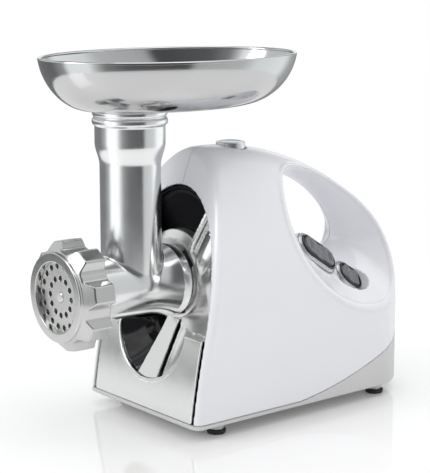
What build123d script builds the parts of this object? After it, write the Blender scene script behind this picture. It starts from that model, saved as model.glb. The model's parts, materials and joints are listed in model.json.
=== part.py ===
from build123d import *
import math
import os

# Electric meat grinder: a cast grinding head with an overhead tray, driven through three
# gear stages by a brushed motor inside a moulded housing.  Millimetres, +Z up.  The head
# points along -Y, X is the width, and the origin is on the floor under the middle of the
# whole machine.  Stations along the machine are measured from the upright feed tube: st(30)
# is 30 mm behind its axis.

# ---- Driving dimensions --------------------------------------------------------------
tube_y = -98.0          # axis of the upright feed tube
head_z = 119.0          # common axis of barrel, feed screw and output shaft

body_half_width = 76.0
body_bottom = 10.0      # underside of the base plate, above the feet
shoulder_z = 80.0       # the sides are upright below this and an elliptical arch above it
crown_z = 228.0
body_rear = 268.0
rear_round_start = 215.0
wall = 2.6
seam_gap = 0.3

barrel_r = 25.6
bore_r = 22.0
seat_r = 31.3
thread_r = 34.5
tube_r = 24.9
tube_bore_r = 20.6
socket_r = 28.6
bead_r = 30.7
tube_top = 264.0
flange_r = 30.5
spigot_r = 26.6

nut_front = -75.0
nut_rear = -47.0
nut_opening_r = 28.5
nut_core_r = 38.5
nut_lobe_r = 44.5
nut_lobes = 8

plate_r = 31.0
plate_front = -69.5
plate_rear = -64.5

collar_r = 41.0
collar_front = 43.0
collar_rear = 57.0

motor_z = 60.0
shaft_r = 4.0
gear_backlash = 0.14
pressure_angle = 25.0

tapping_r = 1.35        # hole a 3 mm case screw cuts its thread in
bolt_hole_r = 1.98
through_bolts = [(29.0, 18.0), (-29.0, -18.0)]    # x, z from the motor axis
bracket_ears = [(-13.2, 4.8), (13.2, 4.8)]
inlet_z = 36.0          # cord inlet at the back

foot_x = 61.0
foot_front = 40.0
foot_rear = 222.0

button_y = 105.0
button_r = 12.5

os.makedirs("parts", exist_ok=True)


# ---- Frames --------------------------------------------------------------------------
def st(y):
    """Row Y of a station measured from the feed tube."""
    return tube_y + y


def facing_front(y, x=0.0, z=head_z):
    """Plane across the machine at station y: local x is +X, local y is +Z, out is -Y."""
    return Plane(origin=(x, st(y), z), x_dir=(1, 0, 0), z_dir=(0, -1, 0))


def side_plane(x=0.0, z=0.0):
    """Plane along the machine: local x is the station, local y is Z, out is +X."""
    return Plane(origin=(x, tube_y, z), x_dir=(0, 1, 0), z_dir=(1, 0, 0))


def drive_axis(x=0.0, z=head_z):
    return Axis((x, tube_y, z), (0, 1, 0))


def turned_section(points, x=0.0, z=head_z):
    """Half section of a turned piece from (station, radius) points."""
    with BuildSketch(side_plane(x, z)) as section:
        with BuildLine():
            Polyline(*points, close=True)
        make_face()
    return section.sketch


def ring_section(y_front, y_rear, r_in, r_out, x=0.0, z=head_z):
    return turned_section([(y_front, r_in), (y_rear, r_in), (y_rear, r_out), (y_front, r_out)], x, z)


def save(builder, label):
    builder.part.label = label
    export_step(builder.part, f"parts/{label}.step")
    print(f"{label:24s} {len(builder.part.solids())} solids {builder.part.volume / 1000:9.2f} cm3")


# ---- Outer shape of the machine body -------------------------------------------------
def crown_height(y):
    """Top of the body on its centre plane: a long arc that rolls over into the back."""
    start = 75.0
    long_r = 260.0
    long_turn = math.radians(38)
    if y <= start:
        return crown_z
    end_y = start + long_r * math.sin(long_turn)
    end_z = crown_z - long_r * (1 - math.cos(long_turn))
    if y <= end_y:
        return crown_z - long_r + math.sqrt(long_r**2 - (y - start) ** 2)
    tight_r = (body_rear - end_y) / (1 - math.sin(long_turn))
    sine = math.sin(long_turn) + (y - end_y) / tight_r
    return end_z - tight_r * (math.cos(long_turn) - math.sqrt(max(0.0, 1 - sine**2)))


def half_width(y):
    """Half width of the body in plan: parallel sides and an elliptical back."""
    if y <= rear_round_start:
        return body_half_width
    run = (y - rear_round_start) / (body_rear + 0.6 - rear_round_start)
    return body_half_width * math.sqrt(1 - run**2)


def body_form(inset, bottom):
    """The solid body, or its inside when inset is the wall thickness."""
    rear = body_rear - inset
    stations = [-5, 75, 95, 115, 135, 155, 175, 195, 212, 226, 238, 248, 256, 262, rear]
    with BuildPart() as form:
        for y in stations:
            w = half_width(y) - inset if y < rear else 9.0
            top = crown_height(y) - inset if y < rear else crown_height(y - 2)
            with BuildSketch(facing_front(y, z=0)):
                with BuildLine():
                    Line((-w, shoulder_z), (-w, bottom))
                    Line((-w, bottom), (w, bottom))
                    Line((w, bottom), (w, shoulder_z))
                    EllipticalCenterArc((0, shoulder_z), w, top - shoulder_z, start_angle=0, arc_size=180)
                make_face()
        loft(ruled=True)
    return form.part


def front_curve(z):
    """Station of the leaning, slightly bowed front face at height z."""
    rise = z - 18.0
    return 8.4 + 0.141 * rise + 0.000594 * rise**2


def front_slab(near, far, half):
    """A slab that follows the front face, from near to far behind it."""
    heights = [0.0, 60.0, 120.0, 180.0, 235.0]
    with BuildPart() as slab:
        with BuildSketch(side_plane()):
            with BuildLine():
                face = Spline(*[(front_curve(z) + near, z) for z in heights])
                back = Spline(*[(front_curve(z) + far, z) for z in heights])
                Line(face @ 0, back @ 0)
                Line(face @ 1, back @ 1)
            make_face()
        extrude(amount=half, both=True)
    return slab.part


def seam_region(drop):
    """Everything under the seam that climbs from the base to the back."""
    with BuildPart() as region:
        with BuildSketch(side_plane()):
            with BuildLine():
                flat = Line((-30, 14 - drop), (119, 14 - drop))
                climb = ThreePointArc((119, 14 - drop), (200, 33.5 - drop), (280, 76 - drop))
                Polyline(climb @ 1, (280, -20), (-30, -20), flat @ 0)
            make_face()
        extrude(amount=120, both=True)
    return region.part


def arch_sketch(plane, half, top, bottom):
    """Front opening: upright sides with a half ellipse over them."""
    spring_z = 85.0
    with BuildSketch(plane) as arch:
        with BuildLine():
            Line((-half, spring_z), (-half, bottom))
            Line((-half, bottom), (half, bottom))
            Line((half, bottom), (half, spring_z))
            EllipticalCenterArc((0, spring_z), half, top - spring_z, start_angle=0, arc_size=180)
        make_face()
    return arch.sketch


def handle_funnel(grow):
    """Hand opening: an oval that is smallest on the centre plane and flares to both sides."""
    # half span, centre station, centre height, half length, half width, tilt
    ovals = [
        (0, 178.5, 162.0, 52.0, 22.5, -37),
        (22, 180.0, 163.5, 57.0, 28.0, -38),
        (44, 182.0, 164.0, 68.0, 41.0, -41),
        (80, 178.0, 158.0, 92.0, 58.0, -46),
    ]
    spans = sorted({side * oval[0] for oval in ovals for side in (-1, 1)})
    by_span = {oval[0]: oval for oval in ovals}
    with BuildPart() as funnel:
        for x in spans:
            _, y, z, length, width, tilt = by_span[abs(x)]
            with BuildSketch(side_plane(x)):
                with Locations((y, z)):
                    Ellipse(length + grow, width + grow, rotation=tilt)
        loft()
    return funnel.part


outer_form = body_form(0.0, body_bottom)
inner_form = body_form(wall, body_bottom + wall) - front_slab(-90.0, wall, 120.0)
ahead_of_front = front_slab(-90.0, 0.0, 120.0)
funnel_void = handle_funnel(0.0)
funnel_wall = handle_funnel(wall)
under_seam = seam_region(0.0)
under_gap = seam_region(-seam_gap)

# ---- Switch seats on the sloping floor of the hand opening ---------------------------
switch_lean = math.radians(50)
floor_fall = math.radians(33)
seat_out = (
    math.sin(switch_lean),
    math.cos(switch_lean) * math.sin(floor_fall),
    math.cos(switch_lean) * math.cos(floor_fall),
)
seat_along = (0, math.cos(floor_fall), -math.sin(floor_fall))
# label, centre (x, station, z), rocker half length, rocker half width, depth of the switch
power_seat = ("power", (47.0, 162.7, 132.3), 20.5, 8.0, 26.0)
reverse_seat = ("reverse", (48.6, 199.8, 106.6), 13.0, 7.5, 14.5)


def seat_plane(seat):
    x, y, z = seat[1]
    return Plane(origin=(x, st(y), z), x_dir=seat_along, z_dir=seat_out)


def slot_sketch(plane, half_length, half_width_):
    with BuildSketch(plane) as slot:
        SlotOverall(2 * half_length, 2 * half_width_)
    return slot.sketch


# ---- Housing halves ------------------------------------------------------------------
case_bosses = [(72.0, 213.0), (124.0, 125.0), (252.0, 95.0)]    # station, z
base_bosses = [(68.5, 66.0), (68.5, 190.0)]                    # x, station

with BuildPart() as housing:
    add(outer_form)
    add(inner_form, mode=Mode.SUBTRACT)
    with BuildSketch(Plane.YZ.offset(0)):
        for boss_y, boss_z in case_bosses:
            with Locations((st(boss_y), boss_z)):
                Circle(5.0)
    extrude(amount=78, both=True)
    with BuildSketch(Plane.XY.offset(14)):
        for boss_x, boss_y in base_bosses:
            with Locations((boss_x, st(boss_y)), (-boss_x, st(boss_y))):
                Circle(5.5)
    extrude(amount=30)
    add(funnel_wall)
    add(funnel_void, mode=Mode.SUBTRACT)
    for seat in (power_seat, reverse_seat):
        extrude(slot_sketch(seat_plane(seat).offset(-9), seat[2] + 6.4, seat[3] + 6.4), amount=9)
    for seat in (power_seat, reverse_seat):
        extrude(slot_sketch(seat_plane(seat).offset(-20), seat[2] + 2.2, seat[3] + 2.2), amount=34,
                mode=Mode.SUBTRACT)
        extrude(slot_sketch(seat_plane(seat).offset(-1.85), seat[2] + 5.4, seat[3] + 5.4), amount=16,
                mode=Mode.SUBTRACT)
    add(outer_form, mode=Mode.INTERSECT)
    add(ahead_of_front, mode=Mode.SUBTRACT)
    add(under_gap, mode=Mode.SUBTRACT)
    extrude(arch_sketch(facing_front(62, z=0), 70.0, 197.0, 5.0), amount=90, mode=Mode.SUBTRACT)
    with BuildSketch(Plane.XY.offset(200)):
        with Locations((0, st(button_y))):
            Circle(button_r + 0.4)
    extrude(amount=60, mode=Mode.SUBTRACT)
    with BuildSketch(Plane.XY.offset(10)):
        for boss_x, boss_y in base_bosses:
            with Locations((boss_x, st(boss_y)), (-boss_x, st(boss_y))):
                Circle(1.4)
    extrude(amount=24, mode=Mode.SUBTRACT)

with BuildPart() as housing_right:
    add(housing.part)
    split(bisect_by=Plane.YZ, keep=Keep.TOP)
    with BuildSketch(Plane.YZ):
        for boss_y, boss_z in case_bosses:
            with Locations((st(boss_y), boss_z)):
                Circle(tapping_r)
    extrude(amount=16, mode=Mode.SUBTRACT)

with BuildPart() as housing_left:
    add(housing.part)
    split(bisect_by=Plane.YZ, keep=Keep.BOTTOM)
    with BuildSketch(Plane.YZ):
        for boss_y, boss_z in case_bosses:
            with Locations((st(boss_y), boss_z)):
                Circle(1.7)
    extrude(amount=-90, mode=Mode.SUBTRACT)
    with BuildSketch(Plane.YZ.offset(-4)):
        for boss_y, boss_z in case_bosses:
            with Locations((st(boss_y), boss_z)):
                Circle(3.3)
    extrude(amount=-90, mode=Mode.SUBTRACT)

save(housing_left, "housing_left")
save(housing_right, "housing_right")

# ---- Base plate, feet and the front -------------------------------------------------
with BuildPart() as base_plate:
    add(outer_form)
    add(inner_form, mode=Mode.SUBTRACT)
    add(ahead_of_front, mode=Mode.SUBTRACT)
    add(under_seam, mode=Mode.INTERSECT)
    with BuildSketch(Plane.XY.offset(3.5)):
        for foot_y in (foot_front, foot_rear):
            with Locations((foot_x, st(foot_y)), (-foot_x, st(foot_y))):
                Circle(6.2)
    extrude(amount=body_bottom - 3.5)
    with BuildSketch(Plane.XY.offset(3.5)):
        for foot_y in (foot_front, foot_rear):
            with Locations((foot_x, st(foot_y)), (-foot_x, st(foot_y))):
                Circle(2.6)
    extrude(amount=6, mode=Mode.SUBTRACT)
    for boss_x, boss_y in base_bosses:
        with Locations((boss_x, st(boss_y), body_bottom), (-boss_x, st(boss_y), body_bottom)):
            Cylinder(1.7, 12, align=(Align.CENTER, Align.CENTER, Align.MIN), mode=Mode.SUBTRACT)
            Cone(3.4, 1.7, 1.7, align=(Align.CENTER, Align.CENTER, Align.MIN), mode=Mode.SUBTRACT)
    with BuildSketch(Plane.XY.offset(body_bottom - 1)):
        with GridLocations(46, 9, 1, 9):
            with Locations((0, st(150))):
                SlotOverall(44, 3.2)
    extrude(amount=6, mode=Mode.SUBTRACT)
    with BuildSketch(facing_front(280, z=inlet_z)):
        Circle(6.6)
    extrude(amount=30, mode=Mode.SUBTRACT)
save(base_plate, "base_plate")

for side_name, foot_sign in (("right", 1), ("left", -1)):
    for end_name, foot_y in (("front", foot_front), ("rear", foot_rear)):
        with BuildPart() as foot:
            with BuildSketch(Plane.XY):
                with Locations((foot_sign * foot_x, st(foot_y))):
                    Circle(8.0)
            extrude(amount=3.5)
            chamfer(foot.edges().sort_by(Axis.Z)[0], 0.8)
            with BuildSketch(Plane.XY.offset(3.5)):
                with Locations((foot_sign * foot_x, st(foot_y))):
                    Circle(2.5)
            extrude(amount=5)
        save(foot, f"foot_{end_name}_{side_name}")

with BuildPart() as front_panel:
    add(front_slab(0.4, 2.6, 68.5))
    with BuildSketch(facing_front(60, z=0)) as panel_outline:
        with Locations((0, 47.5)):
            RectangleRounded(137, 67, 2)
        with Locations((0, 80)):
            Ellipse(44, 42, mode=Mode.SUBTRACT)
    extrude(amount=80, mode=Mode.INTERSECT)
    with BuildSketch(side_plane()):
        with BuildLine():
            Polyline((11.2, 34), (38.5, 77.6), (42.0, 75.5), (14.0, 31), close=True)
        make_face()
    extrude(amount=8, both=True)
save(front_panel, "front_panel")

with BuildPart() as front_recess:
    extrude(arch_sketch(facing_front(59.5, z=0), 69.5, 196.5, 14.6), amount=60)
    add(front_slab(-90.0, 3.2, 120.0), mode=Mode.SUBTRACT)
    extrude(arch_sketch(facing_front(57, z=0), 67.5, 194.5, 16.6), amount=60, mode=Mode.SUBTRACT)
    with BuildSketch(facing_front(60)):
        Circle(27.4)
    extrude(amount=10, mode=Mode.SUBTRACT)
save(front_recess, "front_recess")

# The collar's front lip has three notches: the head's lugs go in through them with the
# head tilted, and lock behind the lip when it is turned upright.
lug_angles = (90, 210, 330)
head_swing = 45
with BuildPart() as hub_collar:
    revolve(turned_section([
        (collar_front, 27.1), (49, 27.1), (49, 30.1), (collar_rear, 30.1),
        (collar_rear, collar_r), (collar_front + 1.5, collar_r), (collar_front, collar_r - 1.5),
    ]), axis=drive_axis())
    with BuildSketch(facing_front(50)):
        with PolarLocations(28, 3, start_angle=lug_angles[0] - head_swing):
            Rectangle(4.4, 17)
    extrude(amount=8, mode=Mode.SUBTRACT)
save(hub_collar, "hub_collar")

# ---- Release button, latch and spring ------------------------------------------------
button_top = 231.5
latch_front, latch_rear = 62.0, 65.0
with BuildPart() as release_button:
    with BuildSketch(Plane.XY.offset(222)):
        with Locations((0, st(button_y))):
            Circle(button_r)
    extrude(amount=button_top - 222)
    fillet(release_button.edges().sort_by(Axis.Z)[-1], 1.2)
    with BuildSketch(Plane.XY.offset(222)):
        with Locations((0, st(button_y))):
            Circle(9.5)
    extrude(amount=5, mode=Mode.SUBTRACT)
    with BuildSketch(Plane.XY.offset(222)):
        with Locations((0, st(button_y))):
            Circle(4.0)
    extrude(amount=5.2)
save(release_button, "release_button")

with BuildPart() as latch_slide:
    with BuildSketch(facing_front(latch_rear)):
        Circle(34)
        with Locations((0, 57)):
            Rectangle(10, 56)
        Circle(31.2, mode=Mode.SUBTRACT)
        with Locations((0, -27.6)):
            Rectangle(9, 8)
    extrude(amount=latch_rear - latch_front)
    with BuildSketch(Plane.XY.offset(200)):
        with BuildLine():
            Polyline((-5, st(latch_front)), (5, st(latch_front)), (5, st(button_y)), (-5, st(button_y)), close=True)
        make_face()
        with Locations((0, st(button_y))):
            Circle(9)
    extrude(amount=4)
    with BuildSketch(Plane.XY.offset(204)):
        with Locations((0, st(button_y))):
            Circle(4)
    extrude(amount=18)
save(latch_slide, "latch_slide")

with BuildPart() as latch_spring:
    with BuildLine():
        coil = Helix(pitch=2.5, height=12.5, radius=7.2, center=(0, st(button_y), 186.9))
    with BuildSketch(Plane(origin=coil @ 0, z_dir=coil % 0)):
        Circle(0.5)
    sweep(path=coil, is_frenet=True)
save(latch_spring, "latch_spring")

with BuildPart() as spring_seat:
    with BuildSketch(Plane.XY.offset(184)):
        with Locations((0, st(button_y))):
            Circle(10)
    extrude(amount=2.4)
    with BuildSketch(Plane.XY.offset(186.4)):
        with Locations((0, st(button_y))):
            Circle(5.6)
    extrude(amount=2.5)
    with BuildSketch(Plane.XY.offset(152.4)):
        with Locations((0, st(button_y) - 8)):
            Rectangle(12, 6)
    extrude(amount=32)
save(spring_seat, "spring_seat")

# ---- Switches ------------------------------------------------------------------------
for seat in (power_seat, reverse_seat):
    switch_name, _, half_long, half_wide, depth = seat
    plane = seat_plane(seat)
    with BuildPart() as bezel:
        extrude(slot_sketch(plane.offset(-1.8), half_long + 5.2, half_wide + 5.2), amount=2.6)
        extrude(slot_sketch(plane.offset(-9), half_long + 2.0, half_wide + 2.0), amount=8)
        extrude(slot_sketch(plane.offset(-9), half_long + 1.0, half_wide + 1.0), amount=12, mode=Mode.SUBTRACT)
    save(bezel, f"{switch_name}_bezel")

    with BuildPart() as rocker:
        extrude(slot_sketch(plane.offset(-4), half_long, half_wide), amount=9)
        fillet(rocker.edges().group_by(SortBy.LENGTH)[-1], 0.8)
        with BuildSketch(Plane(plane.origin + plane.z_dir * 16, x_dir=plane.x_dir, z_dir=plane.y_dir)):
            Circle(12.4)
        extrude(amount=half_wide + 1, both=True, mode=Mode.SUBTRACT)
        with BuildSketch(Plane(plane.origin - plane.z_dir * 5, x_dir=plane.x_dir, z_dir=plane.y_dir)):
            Circle(2.0)
        extrude(amount=half_wide - 1.5, both=True)
    save(rocker, f"{switch_name}_rocker")

    with BuildPart() as switch_body:
        extrude(slot_sketch(plane.offset(-depth), half_long + 0.9, half_wide + 0.9), amount=depth - 9.2)
        extrude(slot_sketch(plane.offset(-13), half_long - 1.5, half_wide - 1.5), amount=4, mode=Mode.SUBTRACT)
        with BuildSketch(plane.offset(-depth)):
            with GridLocations(half_long * 0.8, 7, 2, 2):
                Rectangle(4.8, 0.8)
        extrude(amount=-5)
    save(switch_body, f"{switch_name}_switch_body")

# ---- Gears ---------------------------------------------------------------------------
pinion_teeth = 12
wheel_teeth = (72, 42, 36)
modules = (0.75, 1.25, 1.5)
layer_rear = (105.0, 94.0, 83.0)     # rear face of each gear layer
layer_width = (9.0, 9.0, 10.0)
centre_gap = [m * (pinion_teeth + z) / 2 for m, z in zip(modules, wheel_teeth)]


def third_corner(a, b, a_len, b_len):
    """Point at a_len from a and b_len from b, on the +X side of the line a to b."""
    dx, dz = b[0] - a[0], b[1] - a[1]
    span = math.hypot(dx, dz)
    along = (a_len**2 - b_len**2 + span**2) / (2 * span)
    across = math.sqrt(a_len**2 - along**2)
    return (a[0] + (along * dx + across * dz) / span, a[1] + (along * dz - across * dx) / span)


motor_axis = (0.0, motor_z)
output_axis = (0.0, head_z)
first_axis = third_corner(motor_axis, output_axis, centre_gap[0], 34.5)
second_axis = third_corner(first_axis, output_axis, centre_gap[1], centre_gap[2])


def bearing_angle(a, b):
    return math.degrees(math.atan2(b[1] - a[1], b[0] - a[0]))


def gear_outline(plane, module, teeth, turn):
    """Involute gear with one tooth pointing at the angle turn, thinned for backlash."""
    alpha = math.radians(pressure_angle)
    pitch_r = module * teeth / 2
    base_r = pitch_r * math.cos(alpha)
    root_r = pitch_r - 1.25 * module
    tip_r = pitch_r + 0.95 * module
    half_tooth = math.pi / (2 * teeth) - gear_backlash / (4 * pitch_r) + math.tan(alpha) - alpha

    def half_angle(radius):
        if radius <= base_r:
            return half_tooth
        roll = math.acos(base_r / radius)
        return half_tooth - (math.tan(roll) - roll)

    start_r = max(base_r, root_r)
    radii = [start_r + (tip_r - start_r) * step / 4 for step in range(5)]
    if root_r < base_r:
        radii.insert(0, root_r)
    points = []
    for tooth in range(teeth):
        middle = math.radians(turn) + 2 * math.pi * tooth / teeth
        flank = [(r, middle - half_angle(r)) for r in radii]
        flank += [(r, middle + half_angle(r)) for r in reversed(radii)]
        points += [(r * math.cos(a), r * math.sin(a)) for r, a in flank]
    with BuildSketch(plane) as outline:
        with BuildLine():
            Polyline(*points, close=True)
        make_face()
    return outline.sketch


def meshing_turn(centre, mate, mate_teeth_turn, teeth, mate_teeth):
    """Rotation that puts a gap of the gear at centre opposite the mate's tooth."""
    toward_mate = bearing_angle(centre, mate)
    toward_me = bearing_angle(mate, centre)
    offset_teeth = (toward_me - mate_teeth_turn) / (360 / mate_teeth)
    lag = (offset_teeth - round(offset_teeth)) * 360 / mate_teeth
    return toward_mate + 180 / teeth + lag * mate_teeth / teeth


pinion_turn = bearing_angle(motor_axis, first_axis)
first_wheel_turn = meshing_turn(first_axis, motor_axis, pinion_turn, wheel_teeth[0], pinion_teeth)
first_small_turn = bearing_angle(first_axis, second_axis)
second_wheel_turn = meshing_turn(second_axis, first_axis, first_small_turn, wheel_teeth[1], pinion_teeth)
second_small_turn = bearing_angle(second_axis, output_axis)
output_turn = meshing_turn(output_axis, second_axis, second_small_turn, wheel_teeth[2], pinion_teeth)


def gear_plane(layer, centre, extra=0.0):
    return facing_front(layer_rear[layer] - extra, centre[0], centre[1])


with BuildPart() as motor_pinion:
    extrude(gear_outline(gear_plane(0, motor_axis), modules[0], pinion_teeth, pinion_turn), amount=layer_width[0])
    with BuildSketch(gear_plane(0, motor_axis)):
        Circle(2.5)
    extrude(amount=layer_width[0], mode=Mode.SUBTRACT)
save(motor_pinion, "motor_pinion")

axle_r = 3.0
axle_bore_r = 3.06
case_front, case_rear = 68.0, 111.0
case_inner_front, case_inner_rear = 71.5, 108.0

with BuildPart() as first_gear:
    extrude(gear_outline(gear_plane(0, first_axis, 0.5), modules[0], wheel_teeth[0], first_wheel_turn), amount=8)
    with BuildSketch(facing_front(97.0, *first_axis)):
        Circle(9.5)
    extrude(amount=2.5)
    extrude(gear_outline(gear_plane(1, first_axis, -0.5), modules[1], pinion_teeth, first_small_turn), amount=10)
    with BuildSketch(facing_front(106, *first_axis)):
        Circle(axle_bore_r)
    extrude(amount=30, mode=Mode.SUBTRACT)
save(first_gear, "first_gear")

with BuildPart() as second_gear:
    extrude(gear_outline(gear_plane(1, second_axis, 0.5), modules[1], wheel_teeth[1], second_wheel_turn), amount=8)
    with BuildSketch(facing_front(86.0, *second_axis)):
        Circle(10.5)
    extrude(amount=2.5)
    extrude(gear_outline(gear_plane(2, second_axis, -0.5), modules[2], pinion_teeth, second_small_turn), amount=11)
    with BuildSketch(facing_front(106, *second_axis)):
        Circle(axle_bore_r)
    extrude(amount=40, mode=Mode.SUBTRACT)
save(second_gear, "second_gear")

socket_half = 5.75
output_shaft_r = 9.5
with BuildPart() as output_gear:
    extrude(gear_outline(gear_plane(2, output_axis, 0.5), modules[2], wheel_teeth[2], output_turn), amount=9)
    with BuildSketch(gear_plane(2, output_axis, 0.5)):
        Circle(7.0)
    extrude(amount=9, mode=Mode.SUBTRACT)
save(output_gear, "output_gear")

with BuildPart() as output_shaft:
    revolve(turned_section([
        (52, 0), (107, 0), (107, 4.5), (83.4, 4.5), (83.4, 6.96), (73.2, 6.96), (73.2, output_shaft_r),
        (52, output_shaft_r),
    ]), axis=drive_axis())
    with BuildSketch(facing_front(64.5)):
        Rectangle(2 * socket_half, 2 * socket_half)
    extrude(amount=14, mode=Mode.SUBTRACT)
save(output_shaft, "output_shaft")

with BuildPart() as output_bush:
    revolve(ring_section(66.5, 72.9, output_shaft_r + 0.06, 12.0), axis=drive_axis())
    revolve(ring_section(71.6, 72.9, 12.0, 14.5), axis=drive_axis())
save(output_bush, "output_bush")

for axle_name, centre, axle_rear in (("first_axle", first_axis, 110.0), ("second_axle", second_axis, 97.5)):
    with BuildPart() as axle:
        with BuildSketch(facing_front(axle_rear, *centre)):
            Circle(axle_r)
        extrude(amount=axle_rear - 69.5)
    save(axle, axle_name)


gearbox_lobes = [(motor_axis, 14.0), (first_axis, 29.5), (second_axis, 29.5), (output_axis, 31.0)]


def gearbox_outline(plane, margin):
    """Lobes round the gears and the motor shaft, joined by their hull."""
    with BuildSketch(plane) as outline:
        with BuildSketch() as rings:
            for (x, z), r in gearbox_lobes:
                with Locations((x, z - head_z)):
                    Circle(r + margin)
        make_hull(rings.sketch.edges())
    return outline.sketch


def beside_lobe(lobe, angle):
    """Centre of a screw boss that leans on the outside of a gearbox lobe."""
    (x, z), r = lobe
    reach = r + 4.2
    return (x + reach * math.cos(math.radians(angle)), z + reach * math.sin(math.radians(angle)))


gearbox_screws = [beside_lobe(lobe, angle) for lobe, angle in zip(gearbox_lobes, (200, -45, 50, 145))]
with BuildPart() as gearbox_case:
    extrude(gearbox_outline(facing_front(case_inner_rear), 2.2), amount=case_inner_rear - case_front)
    with BuildSketch(facing_front(case_inner_rear, z=0)):
        with Locations(*gearbox_screws):
            Circle(4.0)
    extrude(amount=20)
    extrude(gearbox_outline(facing_front(case_inner_rear), 0.0), amount=case_inner_rear - case_inner_front,
            mode=Mode.SUBTRACT)
    with BuildSketch(facing_front(case_inner_rear)):
        Circle(12.04)
    extrude(amount=50, mode=Mode.SUBTRACT)
    for centre in (first_axis, second_axis):
        with BuildSketch(facing_front(case_inner_front, *centre)):
            Circle(5.0)
        extrude(amount=-0.8)
        with BuildSketch(facing_front(case_inner_front + 1, *centre)):
            Circle(axle_r + 0.02)
        extrude(amount=3.0, mode=Mode.SUBTRACT)
    with BuildSketch(facing_front(case_inner_rear, z=0)):
        with Locations(*gearbox_screws):
            Circle(tapping_r)
    extrude(amount=14, mode=Mode.SUBTRACT)
save(gearbox_case, "gearbox_case")

with BuildPart() as gearbox_cover:
    extrude(gearbox_outline(facing_front(case_rear), 2.2), amount=case_rear - case_inner_rear)
    with BuildSketch(facing_front(case_rear, z=0)):
        with Locations(*gearbox_screws):
            Circle(4.0)
    extrude(amount=case_rear - case_inner_rear)
    with BuildSketch(facing_front(case_inner_rear, *second_axis)):
        Circle(5.5)
    extrude(amount=11)
    with BuildSketch(facing_front(case_inner_rear)):
        Circle(8.0)
    extrude(amount=1.4)
    with BuildSketch(facing_front(case_rear + 1, *motor_axis)):
        Circle(11.2)
    extrude(amount=10, mode=Mode.SUBTRACT)
    with BuildSketch(facing_front(107.6 + 1.8)):
        Circle(4.56)
    extrude(amount=6, mode=Mode.SUBTRACT)
    with BuildSketch(facing_front(case_rear - 0.8, *first_axis)):
        Circle(axle_r + 0.02)
    extrude(amount=10, mode=Mode.SUBTRACT)
    with BuildSketch(facing_front(97.7, *second_axis)):
        Circle(axle_r + 0.02)
    extrude(amount=3, mode=Mode.SUBTRACT)
    with BuildSketch(facing_front(case_rear, z=0)):
        with Locations(*gearbox_screws):
            Circle(1.7)
    extrude(amount=4, mode=Mode.SUBTRACT)
    with BuildSketch(facing_front(case_rear, *motor_axis)):
        with Locations(*bracket_ears):
            Circle(tapping_r)
    extrude(amount=4, mode=Mode.SUBTRACT)
save(gearbox_cover, "gearbox_cover")

# ---- Motor ---------------------------------------------------------------------------
stack_front, stack_rear = 146.0, 192.0
rotor_r = 21.0
stator_bore_r = 21.6


with BuildPart() as rotor_shaft:
    revolve(turned_section([
        (95.5, 0), (95.5, 2.5), (105.5, 2.5), (105.5, shaft_r), (224, shaft_r), (224, 0),
    ], *motor_axis), axis=drive_axis(*motor_axis))
save(rotor_shaft, "rotor_shaft")

with BuildPart() as armature_core:
    with BuildSketch(facing_front(stack_rear, *motor_axis)):
        Circle(rotor_r)
        with PolarLocations(rotor_r - 4.6, 12):
            SlotOverall(8, 4.4, mode=Mode.SUBTRACT)
        with PolarLocations(rotor_r, 12):
            Rectangle(3, 1.8, mode=Mode.SUBTRACT)
        Circle(shaft_r + 0.01, mode=Mode.SUBTRACT)
    extrude(amount=stack_rear - stack_front)
save(armature_core, "armature_core")

with BuildPart() as armature_windings:
    with BuildSketch(facing_front(stack_rear + 10, *motor_axis)):
        with PolarLocations(rotor_r - 4.6, 12):
            SlotOverall(7, 3.4)
    extrude(amount=stack_rear - stack_front + 20)
    revolve(ring_section(stack_front - 10, stack_front - 0.3, 7.0, 19.5, *motor_axis),
            axis=drive_axis(*motor_axis))
    revolve(ring_section(stack_rear + 0.3, stack_rear + 10, 7.0, 19.5, *motor_axis),
            axis=drive_axis(*motor_axis))
save(armature_windings, "armature_windings")

with BuildPart() as commutator:
    with BuildSketch(facing_front(216, *motor_axis)):
        Circle(11)
        with PolarLocations(11, 24):
            Rectangle(1.6, 0.6, mode=Mode.SUBTRACT)
        Circle(shaft_r + 0.01, mode=Mode.SUBTRACT)
    extrude(amount=13)
save(commutator, "commutator")

with BuildPart() as cooling_fan:
    with BuildSketch(facing_front(134, *motor_axis)):
        Circle(28)
        Circle(shaft_r + 0.01, mode=Mode.SUBTRACT)
    extrude(amount=2)
    with BuildSketch(facing_front(132, *motor_axis)):
        Circle(8)
        with PolarLocations(18, 12):
            Rectangle(20, 1.6, rotation=22)
        Circle(28.4, mode=Mode.INTERSECT)
        Circle(shaft_r + 0.01, mode=Mode.SUBTRACT)
    extrude(amount=8)
save(cooling_fan, "cooling_fan")

with BuildPart() as field_core:
    with BuildSketch(facing_front(stack_rear, *motor_axis)):
        RectangleRounded(74, 66, 16)
        Circle(stator_bore_r, mode=Mode.SUBTRACT)
        with PolarLocations(26.0, 2, start_angle=90):
            Rectangle(6.5, 40, mode=Mode.SUBTRACT)
        with Locations(*through_bolts):
            Circle(bolt_hole_r, mode=Mode.SUBTRACT)
    extrude(amount=stack_rear - stack_front)
save(field_core, "field_core")

with BuildPart() as field_coils:
    with BuildSketch(facing_front(stack_rear + 9, *motor_axis)):
        with PolarLocations(26.0, 2, start_angle=90):
            Rectangle(5.6, 38)
    extrude(amount=stack_rear - stack_front + 18)
save(field_coils, "field_coils")

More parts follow.
